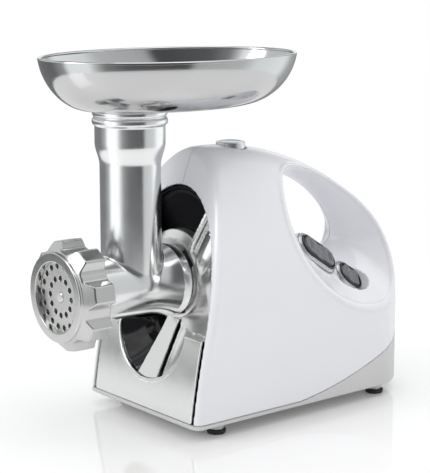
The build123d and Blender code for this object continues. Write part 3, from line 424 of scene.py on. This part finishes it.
# the seam is an arc through three points (station, height), level ahead of the first
SEAM = np.array([(119.0, 14.0), (200.0, 33.5), (280.0, 76.0)])
chords = SEAM[1:] - SEAM[0]
squares = (SEAM**2).sum(1)
SEAM_S, SEAM_Z = np.linalg.solve(chords * 2, squares[1:] - squares[0])
SEAM_R = math.hypot(SEAM[0, 0] - SEAM_S, SEAM[0, 1] - SEAM_Z)


def seam_rise(s, z):
    """Distance above the seam between housing and base."""
    return np.where(s < SEAM[0, 0], z - SEAM[0, 1], SEAM_R - np.hypot(s - SEAM_S, z - SEAM_Z))


def arch(x, z, half, top, spring=85.0):
    """Distance to a door shape: upright sides under half an ellipse."""
    rise = np.maximum(z - spring, 0)
    k = top - spring
    r = np.sqrt((x / half) ** 2 + (rise / k) ** 2 + 1e-12)
    g = np.sqrt((x / half**2) ** 2 + (rise / k**2) ** 2) / r
    return (r - 1) / np.maximum(g, 1e-4)


# both switches share one frame: A runs along the keys, B across them, N out of them
lean, fall = math.radians(50), math.radians(33)
PIVOT_DEPTH = 5.0
SEAT_N = np.array([math.sin(lean), math.cos(lean) * math.sin(fall), math.cos(lean) * math.cos(fall)])
SEAT_A = np.array([0, math.cos(fall), -math.sin(fall)])
SEAT_B = np.cross(SEAT_N, SEAT_A)
SEATS = {}
for key, half_long, half_wide in (("power", 20.5, 8.0), ("reverse", 13.0, 7.5)):
    pivot = np.array(joints[f"{key}_tilt"]["pos_m"]) * 1000 - np.array([0, TUBE_Y, 0])
    SEATS[key] = (pivot + PIVOT_DEPTH * SEAT_N, half_long, half_wide)


def seat_coordinates(key, x, s, z):
    c = SEATS[key][0]
    px, ps, pz = x - c[0], s - c[1], z - c[2]
    return [px * v[0] + ps * v[1] + pz * v[2] for v in (SEAT_A, SEAT_B, SEAT_N)]


CASE_BOSSES = ((72.0, 213.0), (124.0, 125.0), (252.0, 95.0))     # station, height
COVERED_BOSS_S = 124.0  # this screw's bore lies behind the flared wall of the hand hole
BASE_BOSSES = ((68.5, 66.0), (68.5, 190.0))                      # half spacing, station
BUTTON_S = 105.0
ARCH_HALF, ARCH_TOP, RECESS_END = 70.0, 197.0, 62.0


def forms(x, s, z):
    """The closed outside of housing and base together, and the hollow within it."""
    body = true_distance(body_level, x, s, z)
    depth = front_depth(s, z)
    outer = smax(body, -depth, 8.0)
    void = np.maximum(np.maximum(outer + WALL, s - (REAR - 8.0)), BOTTOM + WALL - z)
    return outer, void


def housing_field(x, s, z):
    outer, hollow = forms(x, s, z)
    funnel = true_distance(funnel_level, x, s, z)
    hollow = np.maximum(hollow, WALL - funnel)
    f = smax(outer, -funnel, 1.6)
    f = smin(f, np.hypot(outer + 1.0, funnel - 1.2) - 2.1, 1.0)
    for key, (_, half_long, half_wide) in SEATS.items():
        a, b, n = seat_coordinates(key, x, s, z)
        pad = smax(slot2(a, b, half_long + 6.4, half_wide + 6.4), slab(n, -9, 0), 1.5)
        guard = np.maximum(slot2(a, b, half_long + 8.4, half_wide + 8.4), slab(n, -9, 12))
        hollow = np.maximum(np.maximum(hollow, -pad), -guard)
        f = smin(f, np.maximum(pad, outer + 0.5), 3.0)
        f = np.maximum(f, -np.maximum(slot2(a, b, half_long + 5.4, half_wide + 5.4), slab(n, -1.85, 14)))
        f = np.maximum(f, -np.maximum(slot2(a, b, half_long + 2.2, half_wide + 2.2), slab(n, -20, 14)))
    for bs, bz in CASE_BOSSES:
        hollow = np.maximum(hollow, 5.0 - np.hypot(s - bs, z - bz))
    for bx, bs in BASE_BOSSES:
        hollow = np.maximum(hollow, np.minimum(5.5 - np.hypot(np.abs(x) - bx, s - bs), 44 - z))
    f = smax(f, -hollow, 0.6)
    f = smax(f, -np.maximum(arch(x, z, ARCH_HALF, ARCH_TOP), s - RECESS_END), 1.4)
    f = smax(f, 0.15 - seam_rise(s, z), 0.8)
    f = smax(f, -np.maximum(np.hypot(x, s - BUTTON_S) - 12.9, 200 - z), 0.8)
    for bs, bz in CASE_BOSSES:
        deep = 20.0 if bs == COVERED_BOSS_S else 80.0
        f = smax(f, -np.maximum(np.hypot(s - bs, z - bz) - 3.3, slab(x, -deep, -4)), 0.5)
    return f


def base_field(x, s, z):
    outer, hollow = forms(x, s, z)
    f = smax(outer, BOTTOM - z, 2.4)
    foot = np.hypot(np.abs(x) - 61.0, np.minimum(np.abs(s - 40.0), np.abs(s - 222.0)))
    f = smin(f, np.maximum(foot - 6.2, slab(z, 3.5, 12.0)), 1.6)
    f = np.maximum(f, -hollow)
    f = smax(f, seam_rise(s, z) + 0.15, 0.8)
    row = (s - 150 + 4.5) % 9 - 4.5
    vents = np.maximum(np.maximum(slot2(x, row, 22.0, 1.6), np.abs(s - 150) - 40.5), z - 14)
    f = smax(f, -vents, 0.5)
    for bx, bs in BASE_BOSSES:
        r = np.hypot(np.abs(x) - bx, s - bs)
        f = np.maximum(f, -np.maximum(r - np.maximum(1.7, 3.4 - (z - BOTTOM)), z - 16))
    return np.maximum(f, -np.maximum(np.hypot(x, z - INLET_Z) - 6.6, 250 - s))


INLET_Z = mounts["cord_gland"]["pos_m"][2] * 1000


def split_halves(verts, quads, normals):
    """Cuts the housing at its centre plane into two closed halves with a hairline between them."""
    for side in (-1, 1):
        bm = bmesh.new()
        vs = [bm.verts.new(v) for v in verts.tolist()]
        for q in quads.tolist():
            bm.faces.new([vs[i] for i in q])
        cut = bmesh.ops.bisect_plane(bm, geom=bm.verts[:] + bm.edges[:] + bm.faces[:], dist=1e-5,
                                     plane_co=(side * 0.03, 0, 0), plane_no=(-side, 0, 0), clear_outer=True)
        rim = [e for e in cut["geom_cut"] if isinstance(e, bmesh.types.BMEdge)]
        before = len(bm.faces)
        bmesh.ops.triangle_fill(bm, edges=rim, use_beauty=True)
        bm.faces.ensure_lookup_table()
        bm.verts.index_update()
        points = np.array([v.co[:] for v in bm.verts])
        faces = [[v.index for v in f.verts] for f in bm.faces]
        for i in range(before, len(faces)):
            if bm.faces[i].normal.x * side > 0:
                faces[i].reverse()
        bm.free()
        yield side, points, faces, before


verts, quads, normals = surface_mesh(housing_field, (-78.4, -1.6, 11.2), (78.4, 270.4, 232), 1.6)
for side, points, faces, outer_count in split_halves(verts, quads, normals):
    _, grad = value_and_gradient(housing_field, points)
    grad /= np.maximum(np.linalg.norm(grad, axis=1), 1e-6)[:, None]
    hand = "right" if side > 0 else "left"
    half = add_mesh(f"housing_shell_{hand}", points, faces, "machine", MAT["housing"],
                    (f"housing_{hand}",))
    grad = agreed(half.data, grad)
    loops = []
    for i, face in enumerate(faces):
        loops += [tuple(grad[v]) if i < outer_count else (-side, 0, 0) for v in face]
    half.data.normals_split_custom_set(loops)

field_piece("base_tub", base_field, (-78.4, -1.6, 1.6), (78.4, 270.4, 76), 1.5, "machine", MAT["base"],
            ("base_plate",))


# ---------------------------------------------------------------- front panel, recess, collar
SHELF_Z, NOTCH_HALF, NOTCH_DROP = 80.0, 44.0, 42.0
SHEET_HALF, SHEET_FOOT, SHEET_TOP, SHEET_GAP, SHEET_BACK = 67.2, 14.0, 80.8, 0.4, 2.6
WING_BACK_S, WING_R, WING_FLARE, WING_THICK = 43.5, 32.0, 0.36, 2.6
LINER_HALF, LINER_TOP, LINER_S = 69.5, 196.5, 59.5
BEHIND_FACE = 3.4                                    # the recess starts this far behind the front face
COLLAR_R, COLLAR_MOUTH, COLLAR_BORE, COLLAR_FRONT = 41.0, 33.0, 30.1, 43.0


def true_notch(x, z, a, b):
    """Distance to the ellipse that hangs from the shelf."""
    r = np.sqrt((x / a) ** 2 + ((z - SHELF_Z) / b) ** 2 + 1e-12)
    g = np.sqrt((x / a**2) ** 2 + ((z - SHELF_Z) / b**2) ** 2) / r
    return (r - 1) / np.maximum(g, 1e-4)


def wing_field(x, s, z):
    """Flared sheet from the collar to the recess wall, with rolled bands and a hemmed upper edge."""
    r = np.hypot(x, z - HEAD_Z)
    along = (np.abs(x) - 26.0 - 0.364 * (z - 150.0)) / 1.064
    roll = 1.9 * np.cos((along - 3.0) * math.pi / 11.5) * np.clip((z - 112.0) / 22.0, 0, 1)
    face = smax(WING_BACK_S - WING_FLARE * (r - WING_R), front_station(z) + 4.6, 4.0) + roll
    behind = (s - face) / 1.12
    opening = arch(x, z, ARCH_HALF - 2.6, ARCH_TOP - 2.6)
    inside = np.maximum(opening, BEHIND_FACE - front_depth(s, z))
    wing = np.maximum(smax(slab(behind, 0.0, WING_THICK), WING_R - r, 1.0), inside)
    wing = np.maximum(np.maximum(wing, SHELF_Z - z), -along)
    hem = np.maximum(np.maximum(slab(along, -2.4, 0.4), slab(behind, -1.4, WING_THICK)), 34.0 - r)
    wing = np.minimum(wing, np.maximum(hem, inside))
    return np.maximum(wing, -np.maximum(slab(x, -40.0, 12.0), z - 90.0))


def panel_field(x, s, z):
    depth = front_depth(s, z)
    notch = true_notch(x, z, NOTCH_HALF, NOTCH_DROP)
    middle, half_high = (SHEET_TOP + SHEET_FOOT) / 2, (SHEET_TOP - SHEET_FOOT) / 2
    sheet = smax(slab(depth, SHEET_GAP, SHEET_BACK), box2(x, z - middle, SHEET_HALF, half_high, 2.0), 0.8)
    sheet = smax(sheet, -notch, 1.2)
    rim = np.maximum(np.maximum(np.abs(notch - 0.9) - 0.9, z - SHELF_Z), slab(depth, 1.0, 13.0))
    shelf = np.maximum(slab(z, 79.0, 80.9), np.maximum(1.0 - depth, s - 53.0))
    shelf = np.maximum(shelf, slab(np.abs(x), 43.0, 66.8))
    f = smin(smin(sheet, rim, 1.0), smax(shelf, z - 80.9, 0.5), 0.8)
    f = smin(f, wing_field(x, s, z), 0.8)
    # tongue: a leaning strip that narrows upwards, with a curved cheek to its right
    foot_s, foot_z, run, rise = 11.2, 34.0, 27.3, 43.6
    t = np.clip((z - foot_z) / 43.0, 0, 1)
    lift = (-(s - foot_s) * rise + (z - foot_z) * run) / 51.44
    half_wide = 14.0 - 5.5 * t
    tongue = np.maximum(np.maximum(slab(lift, -3.6, 0.0), slab(z, 30.0, 86.0)), 1.2 - depth)
    f = smin(f, smax(tongue, np.abs(x) - half_wide, 0.8), 0.8)
    cheek = slab(lift + 2.2 * np.cos(x / 5.0), -5.6, -2.4)
    cheek = np.maximum(np.maximum(cheek, slab(z, 40.0, SHELF_Z)), 1.2 - depth)
    cheek = np.maximum(cheek, np.maximum(half_wide + 4.5 - x, notch - 1.0))
    return np.minimum(f, cheek)


field_piece("front_mask", panel_field, (-71, 4, 12), (71, 60, 206), 1.1, "machine",
            MAT["chrome_panel"], ("front_panel",))


def recess_field(x, s, z):
    """Black liner of the arched recess, open at the front and round the spigot."""
    inside = smax(arch(x, z, LINER_HALF - 2.0, LINER_TOP - 2.0), s - (LINER_S - 2.5), 6.0)
    inside = smax(inside, 16.6 - z, 4.0)
    outer = np.maximum(np.maximum(arch(x, z, LINER_HALF, LINER_TOP), s - LINER_S), 14.8 - z)
    f = np.maximum(np.maximum(outer, -inside), BEHIND_FACE - front_depth(s, z))
    return np.maximum(f, 27.4 - np.hypot(x, z - HEAD_Z))


field_piece("recess_liner", recess_field, (-72, 6, 12), (72, 62, 199), 1.2, "machine",
            MAT["recess_black"], ("front_recess",))


def scoop_field(x, s, z):
    """The glossy bowl under the barrel, narrowing as it runs back."""
    d = np.clip(front_depth(s, z), 0, 60)
    half, drop = NOTCH_HALF + 1.4 - 0.42 * d, NOTCH_DROP + 1.4 - 0.50 * d + 1.5 * np.sin(d / 7.0)
    f = np.maximum(np.abs(true_notch(x, z, half, drop) - 0.8) - 0.8, z - 79.0)
    return np.maximum(f, np.maximum(3.2 - front_depth(s, z), s - 56.0))


field_piece("notch_scoop", scoop_field, (-50, 8, 30), (50, 58, 82), 1.0, "machine", SCOOP)


def polar(x, z, turn):
    """Coordinates outwards and across at an angle round the head's axis."""
    return (x * math.cos(turn) + (z - HEAD_Z) * math.sin(turn),
            -x * math.sin(turn) + (z - HEAD_Z) * math.cos(turn))


def collar_field(x, s, z):
    """Hub ring with a conical face and three entry notches for the head's lugs."""
    r = np.hypot(x, z - HEAD_Z)
    front_cone = cone(s, r, COLLAR_FRONT, COLLAR_MOUTH, COLLAR_FRONT + 4.5, COLLAR_R + 0.2)
    f = smax(smax(slab(r, COLLAR_BORE, COLLAR_R), slab(s, COLLAR_FRONT, 56.9), 1.6), front_cone, 1.0)
    f = np.minimum(f, smax(slab(r, 27.1, 34.0), slab(s, COLLAR_FRONT, 49.0), 0.6))
    for k in range(3):
        u, v = polar(x, z, math.radians(45 + 120 * k))
        f = smax(f, -np.maximum(box2(u - 27.9, v, 2.4, 8.6, 1.0), slab(s, 30, 50)), 0.5)
    return f


field_piece("hub_ring", collar_field, (-43, 41, 76), (43, 59, 162), 0.85, "machine",
            MAT["collar_chrome"], ("hub_collar",))

# ---------------------------------------------------------------- button, feet, cord inlet
lathe("release_cap", [(222.2, 0), (222.2, 12.4), (228.4, 12.4), (229.5, 11.4), (229.5, 9.6),
                      (228.9, 9.2), (228.9, 0)],
      "z", (0, BUTTON_S), "release", MAT["button_metal"], ("release_button",), 96, 0.4)
for node_name in [n for n in frame["nodes"] if n.startswith("foot_")]:
    lo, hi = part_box(node_name)
    cx, cs = (lo.x + hi.x) * 500, (lo.y + hi.y) * 500 - TUBE_Y
    lathe(f"pad_{node_name}", [(0.0, 0), (0.0, 7.0), (0.6, 7.7), (3.4, 8.0), (3.4, 3.0), (3.6, 2.4),
                               (8.0, 2.4), (8.4, 0)],
          "z", (cx, cs), "machine", MAT["foot_rubber"], (node_name,), 64, 0.3)
lathe("cord_gland", [(254, 3.75), (271, 3.75), (271, 6.2), (268.2, 8.4), (268.1, 6.4), (265.1, 6.4),
                     (265.1, 8.4), (254, 8.4)],
      "s", (0, INLET_Z), "machine", MAT["grommet_rubber"], ("cord_inlet",), 64, 0.4)


# ---------------------------------------------------------------- switches
def switch_pieces(key, body):
    centre, half_long, half_wide = SEATS[key]

    def bezel(x, s, z):
        a, b, n = seat_coordinates(key, x, s, z)
        f = smax(slot2(a, b, half_long + 5.1, half_wide + 5.1), slab(n, -1.75, 1.4), 1.4)
        f = np.minimum(f, np.maximum(slot2(a, b, half_long + 3.6, half_wide + 3.6), slab(n, -1.7, 2.4)))
        return smax(f, -slot2(a, b, half_long + 2.6, half_wide + 2.6), 0.4)

    def well(x, s, z):
        a, b, n = seat_coordinates(key, x, s, z)
        f = smax(slot2(a, b, half_long + 2.45, half_wide + 2.45), slab(n, -9, 3.4), 1.0)
        step = slab(slot2(a, b, half_long + 2.0, half_wide + 2.0), 0, 3)
        f = np.maximum(f, -np.maximum(slab(n, -9.1, -1.8), step))
        return smax(f, -slot2(a, b, half_long + 1.0, half_wide + 1.0), 0.5)

    def rocker(x, s, z):
        a, b, n = seat_coordinates(key, x, s, z)
        swing = np.hypot(a, n + 5.0) - (half_long + 0.4)
        f = smax(smax(slot2(a, b, half_long, half_wide), slab(n, -4, 5), 1.4), swing, 1.2)
        f = smax(f, 12.4 - np.hypot(a, n - 15.8), 0.8)
        ribs = np.maximum(np.abs((a + 0.9) % 1.8 - 0.9) - 0.35, np.abs(np.abs(a) - half_long * 0.62) - 2.6)
        ribs = np.maximum(np.maximum(ribs, np.abs(b) - half_wide * 0.55), slab(n, 4.2, 9.0))
        return smax(f, -ribs, 0.25)

    reach = half_long + 8.0
    span = np.abs(SEAT_A) * reach + np.abs(SEAT_B) * (half_wide + 8) + np.abs(SEAT_N) * 12
    fine = 0.7
    field_piece(f"{key}_surround", bezel, centre - span, centre + span, fine, "machine", MAT["bezel_chrome"],
                (f"{key}_bezel",))
    field_piece(f"{key}_well", well, centre - span, centre + span, fine, "machine", MAT["switch_black"])
    field_piece(f"{key}_cap", rocker, centre - span, centre + span, fine, body, MAT["rocker_grey"],
                (f"{key}_rocker",))


switch_pieces("power", "power_key")
switch_pieces("reverse", "reverse_key")


# ---------------------------------------------------------------- grinding head
BARREL_R, TUBE_R, LAND_R, LAND_FRONT = 25.6, 24.9, 34.5, -67.5
FLANGE_GAIN, SOCKET_GAIN, TUBE_TOP = 4.9, 3.7, 264.0


def head_field(x, s, z):
    """Barrel along s, feed tube along z, with their bores."""
    r = np.hypot(x, z - HEAD_Z)
    up = np.hypot(x, s)
    swell = np.clip((s - 8.0) / 24.0, 0, 1)
    barrel = smax(r - BARREL_R - FLANGE_GAIN * swell * swell, slab(s, -60, 40), 1.4)
    land = smax(np.maximum(r - LAND_R, cone(s, r, -50, LAND_R, -42, BARREL_R)), slab(s, LAND_FRONT, -40), 0.6)
    barrel = smin(barrel, land, 2.5)
    flare = np.clip((z - 219.0) / 18.0, 0, 1)
    tube = np.maximum(up - TUBE_R - SOCKET_GAIN * flare**2 * (3 - 2 * flare), slab(z, HEAD_Z, TUBE_TOP - 2))
    bead = smax(up - 30.7, slab(z, 251.2, 257.8), 3.2)
    lip = smax(up - 30.3, slab(z, 258.2, TUBE_TOP), 2.6)
    tube = smin(tube, smin(bead, lip, 0.8), 1.0)
    f = smin(barrel, tube, 2.4)
    spigot = smax(r - 26.6, slab(s, 36.0, 67.0), 0.8)
    f = np.minimum(f, spigot)
    for k in range(3):
        u, v = polar(x, z, math.radians(90 + 120 * k))
        lug = np.maximum(box2(u - 27.5, v, 2.2, 7.0, 0.6), slab(s, 50.5, 55.0))
        f = np.minimum(f, np.maximum(lug, r - 29.6))
    # bores that step down towards the rear, each as (radius, last station)
    bore = r - 14.0
    for radius, end in ((31.3, LAND_FRONT + 3), (28.0, -52.0), (22.0, 34.0)):
        bore = np.minimum(bore, np.maximum(r - radius, s - end))
    narrow, wide, step_low, step_high = 20.6, 25.0, 229, 238
    sloped = np.where(z > step_low, cone(z, up, step_low, narrow, step_high, wide), up - narrow)
    throat = np.maximum(np.where(z > step_high, up - wide, sloped), HEAD_Z - z)
    f = smax(smax(f, -bore, 0.5), -throat, 0.6)
    latch_groove = np.maximum(slab(r, 23.0, 28.0), slab(s, 61.0, 66.0))
    f = np.maximum(f, -latch_groove)
    key = np.maximum(box2(x, z - HEAD_Z - 30.6, 1.5, 1.3), slab(s, LAND_FRONT + 0.1, LAND_FRONT + 2.5))
    return np.minimum(f, key)


field_piece("grinder_casting", head_field, (-36, -70, 80), (36, 69, 266), 1.05, "head",
            MAT["cast_aluminium"], ("grinder_body", "upright_tube"))


NUT_FRONT, NUT_REAR, NUT_R, LOBE_R, LOBES, LOBE_TURN = -75.0, -47.0, 38.2, 44.4, 8, math.radians(10)
PLATE_FRONT = -69.5


def folded(x, z, count, start=0.0):
    """Radius and angle round the head's axis, the angle folded into one of count equal sectors."""
    step = 2 * math.pi / count
    angle = np.arctan2(z - HEAD_Z, x)
    return np.hypot(x, z - HEAD_Z), (angle - start + step / 2) % step - step / 2


def nut_field(x, s, z):
    """Ring nut: eight lobes with sloped fronts behind a flat face ring."""
    r, fold = folded(x, z, LOBES, LOBE_TURN)
    u, v = r * np.cos(fold), np.abs(r * np.sin(fold))
    lobe = smax(u - LOBE_R, (v - (10.6 - (u - 37.0) * 0.52)) * 0.887, 1.6)
    f = smin(r - NUT_R, lobe, 1.6)
    f = smax(f, slab(s, NUT_FRONT, NUT_REAR), 0.9)
    f = smax(f, cone(s, r, -72.6, 36.0, -65.5, 44.6), 0.8)
    f = np.minimum(f, smax(r - 36.4, slab(s, NUT_FRONT, -60.0), 1.2))
    mouth = np.maximum(r - 28.5, s - PLATE_FRONT + 0.05)
    f = smax(f, -mouth, 0.7)
    return np.maximum(f, -np.maximum(r - LAND_R - 0.5, PLATE_FRONT - 0.05 - s))


field_piece("clamp_ring", nut_field, (-46, -77, 73), (46, -45, 165), 0.8, "nut", NUT,
            ("ring_nut",))


def plate_field(x, s, z):
    """Cutting plate with two rings of holes, a centre hole and an edge notch."""
    r = np.hypot(x, z - HEAD_Z)
    f = smax(r - 30.95, slab(s, PLATE_FRONT, PLATE_FRONT + 5), 0.5)
    for radius, count in ((25.0, 18), (15.0, 12)):
        _, fold = folded(x, z, count)
        f = smax(f, 2.4 - np.hypot(r * np.cos(fold) - radius, r * np.sin(fold)), 0.35)
    f = smax(f, 4.08 - r, 0.4)
    return np.maximum(f, -box2(x, z - HEAD_Z - 31.0, 2.0, 3.2))


field_piece("mincing_disc", plate_field, (-32, -71, 87), (32, -63, 151), 0.55, "plate",
            MAT["plate_steel"], ("cutting_plate",))


# ---------------------------------------------------------------- tray
def tray_piece():
    heights = np.array([264.1, 271.0, 287.0, 306.0])
    table = np.array([(37.0, 78.0, 50.0), (39.5, 95.0, 65.0), (41.0, 110.0, 78.0), (41.5, 116.5, 83.6)])
    chord = np.concatenate([[0], np.cumsum(np.hypot(np.diff(heights), np.diff(table[:, 1])))])
    fit = np.linalg.solve(np.stack([chord**p for p in range(4)], 1), np.column_stack([heights, table]))

    def wall(t, inset):
        z, cs, length, width = (np.array([t**p for p in range(4)]) @ fit)
        return (z + inset * (1 - t / chord[-1]), cs, length - inset, width - inset)

    bottom = wall(0.0, 0.0)

    def floor_row(f, z, r0, inset):
        return (z, bottom[1] * f, r0 + (bottom[2] - inset - r0) * f, r0 + (bottom[3] - inset - r0) * f)

    neck_out = [(242.0, 22.9), (242.0, 24.3), (242.4, 24.6), (250.0, 24.6), (262.0, 24.6), (263.6, 24.7)]
    neck_in = [(265.1, 22.7), (262.0, 22.6), (250.0, 22.6), (242.4, 22.6)]
    rows = [(z, 0.0, r, r) for z, r in neck_out]
    rows += [floor_row(f, 264.15, 24.9, 3.0) for f in (0.0, 0.25, 0.5, 0.75, 0.94)]
    rows += [wall(t, 0.0) for t in np.linspace(0, chord[-1] - 1.8, 26)]
    tz, tcs, tl, tw = wall(chord[-1], 0.0)
    bead = 1.5
    for k in range(9):
        a = math.radians(-30 + k * 240 / 8)
        out = bead * math.cos(a) - bead - 0.05
        rows.append((tz - bead - 0.05 + bead * math.sin(a), tcs, tl + out, tw + out))
    rows += [wall(t, 1.6) for t in np.linspace(chord[-1] - 2.4, 0, 26)]
    rows += [floor_row(f, 265.7, 23.4, 5.0) for f in (0.94, 0.75, 0.5, 0.25, 0.0)]
    rows += [(z, 0.0, r, r) for z, r in neck_in]
    steps = 192
    verts, faces = [], []
    for z, cs, length, width in rows:
        for i in range(steps):
            a = 2 * math.pi * i / steps
            verts.append((width * math.sin(a), cs + length * math.cos(a), z))
    n = len(rows)
    for k in range(n):
        m = (k + 1) % n
        for i in range(steps):
            j = (i + 1) % steps
            faces.append((k * steps + i, k * steps + j, m * steps + j, m * steps + i))
    o = add_mesh("food_tray", verts, faces, "tray", MAT["tray_aluminium"], ("hopper_tray",))
    tidy(o, 50)


tray_piece()

# ---------------------------------------------------------------- floor, light, camera
floor_mat = surface("studio_floor", (0.90, 0.90, 0.90), 0, 0.07, 0.002, 0.02, 3.0, specular=0.60)
shine = floor_mat.node_tree.nodes["Principled BSDF"]
shine.inputs["Emission Color"].default_value = (1, 1, 1, 1)
shine.inputs["Emission Strength"].default_value = 0.04
floor_mesh = bpy.data.meshes.new("floor")
FLOOR_R, FLOOR_STEPS = 0.64, 96
turns = np.linspace(0, 2 * math.pi, FLOOR_STEPS + 1)[:-1]
edge = [(FLOOR_R * math.cos(a), FLOOR_R * math.sin(a), 0) for a in turns]
floor_mesh.from_pydata(edge, [], [list(range(FLOOR_STEPS))])
floor_mesh.materials.append(floor_mat)
floor = bpy.data.objects.new("floor", floor_mesh)
bpy.context.scene.collection.objects.link(floor)

AZ, EL, DISTANCE = math.radians(51.0), math.radians(10.9), 1.2763
SENSOR_MM, FOCAL_PER_WIDTH = 36.0, 1490.3 / 430      # focal length over the frame's width
back = Vector((math.sin(AZ) * math.cos(EL), -math.cos(AZ) * math.cos(EL), math.sin(EL)))
target = Vector((-0.0034, (90.8 + TUBE_Y) * MM, 0.1479))
cam_data = bpy.data.cameras.new("camera")
cam_data.sensor_fit = "HORIZONTAL"
cam_data.sensor_width = SENSOR_MM
cam_data.lens = FOCAL_PER_WIDTH * SENSOR_MM
cam = bpy.data.objects.new("camera", cam_data)
cam.location = target + back * DISTANCE
cam.rotation_euler = back.to_track_quat("Z", "Y").to_euler()
bpy.context.scene.collection.objects.link(cam)
bpy.context.scene.camera = cam


def area(name, spot, aim, size, power):
    data = bpy.data.lights.new(name, "AREA")
    data.shape = "RECTANGLE"
    data.size, data.size_y = size
    data.energy = power
    o = bpy.data.objects.new(name, data)
    o.location = spot
    o.rotation_euler = (Vector(spot) - Vector(aim)).to_track_quat("Z", "Y").to_euler()
    bpy.context.scene.collection.objects.link(o)


area("key_left", (-0.6, -2.2, 1.6), (0, 0, 0.12), (1.1, 1.1), 16)
area("top_soft", (0.3, 0.3, 2.2), (0, 0, 0.1), (1.6, 1.6), 9)

world = bpy.data.worlds.new("studio")
bpy.context.scene.world = world
world.use_nodes = True
wt = world.node_tree
wt.nodes.clear()
out = wt.nodes.new("ShaderNodeOutputWorld")
mixer = wt.nodes.new("ShaderNodeMixShader")
plain = wt.nodes.new("ShaderNodeBackground")
plain.inputs["Color"].default_value = (1, 1, 1, 1)
plain.inputs["Strength"].default_value = 1.0
tent = wt.nodes.new("ShaderNodeBackground")
soft = wt.nodes.new("ShaderNodeBackground")
soft.inputs["Strength"].default_value = 1.10
path = wt.nodes.new("ShaderNodeLightPath")
coord = wt.nodes.new("ShaderNodeTexCoord")


def world_math(kind, a, b=None):
    node = wt.nodes.new("ShaderNodeMath")
    node.operation = kind
    for i, v in enumerate((a, b)):
        if isinstance(v, (int, float)):
            node.inputs[i].default_value = v
        elif v is not None:
            wt.links.new(v, node.inputs[i])
    return node.outputs[0]


def world_dot(v):
    node = wt.nodes.new("ShaderNodeVectorMath")
    node.operation = "DOT_PRODUCT"
    node.inputs[1].default_value = v
    wt.links.new(coord.outputs["Generated"], node.inputs[0])
    return node.outputs["Value"]


def world_ramp(fac, stops):
    node = wt.nodes.new("ShaderNodeValToRGB")
    ramp = node.color_ramp
    while len(ramp.elements) < len(stops):
        ramp.elements.new(0.5)
    for e, (pos, level) in zip(ramp.elements, stops):
        e.position = pos
        e.color = (level * 0.97, level, level * 1.03 if level < 0.3 else level, 1)
    wt.links.new(fac, node.inputs["Fac"])
    return node.outputs["Color"]


# the studio round the object: a dark gap where the viewer stands, a bright panel to the left of it,
# a soft wall to the right and dimmer corners behind
turn = world_math("ARCTAN2", world_dot((math.cos(AZ), math.sin(AZ), 0)),
                  world_dot((math.sin(AZ), -math.cos(AZ), 0)))
turn = world_math("ADD", world_math("DIVIDE", turn, 2 * math.pi), 0.5)
behind_left = [(-180, 0.20), (-150, 0.22), (-108, 0.20), (-84, 0.45)]
behind_left_high = [(-160, 0.25), (-140, 0.80), (-84, 0.85)]
round_front = [(-74, 1.25), (-42, 1.25), (-31, 0.62), (-22, 0.30), (0, 0.14), (48, 0.09), (54, 0.60),
               (88, 0.72), (100, 1.10), (132, 1.20), (146, 0.55), (180, 0.20)]
low = world_ramp(turn, [((d + 180) / 360, v) for d, v in behind_left + round_front])
high = world_ramp(turn, [((d + 180) / 360, v) for d, v in behind_left_high + round_front])
height = world_math("ADD", world_math("MULTIPLY", world_dot((0, 0, 1)), 0.5), 0.5)
above = world_ramp(height, [(0.0, 0.80), (0.60, 0.62), (0.70, 0.55), (0.82, 0.95), (1.0, 1.0)])


def world_mix(fac, a, b):
    node = wt.nodes.new("ShaderNodeMix")
    node.data_type = "RGBA"
    for i, v in ((0, fac), (6, a), (7, b)):
        wt.links.new(v, node.inputs[i])
    return node.outputs[2]


over_horizon = world_ramp(height, [(0.0, 0.0), (0.485, 0.0), (0.505, 1.0), (0.80, 1.0), (0.86, 0.0)])
around = world_mix(over_horizon, low, high)
# the floor mirrors a bright wall straight across from the camera
across = world_ramp(turn, [(0.0, 1.0), (0.035, 1.0), (0.06, 0.0), (0.94, 0.0), (0.965, 1.0)])
wall = world_math("MULTIPLY", across,
                  world_ramp(height, [(0.0, 0.0), (0.5, 0.0), (0.515, 1.0), (0.69, 1.0), (0.73, 0.0)]))
around = world_mix(wall, around, world_ramp(height, [(0.0, 1.06), (1.0, 1.06)]))
lift = world_ramp(height, [(0.0, 0.0), (0.91, 0.0), (0.975, 0.90), (1.0, 1.0)])
wt.links.new(world_mix(lift, around, above), tent.inputs["Color"])
gloss_mix = wt.nodes.new("ShaderNodeMixShader")
wt.links.new(path.outputs["Is Glossy Ray"], gloss_mix.inputs["Fac"])
wt.links.new(soft.outputs["Background"], gloss_mix.inputs[1])
wt.links.new(tent.outputs["Background"], gloss_mix.inputs[2])
wt.links.new(path.outputs["Is Camera Ray"], mixer.inputs["Fac"])
wt.links.new(gloss_mix.outputs["Shader"], mixer.inputs[1])
wt.links.new(plain.outputs["Background"], mixer.inputs[2])
wt.links.new(mixer.outputs["Shader"], out.inputs["Surface"])
bpy.context.scene.view_settings.view_transform = "Standard"
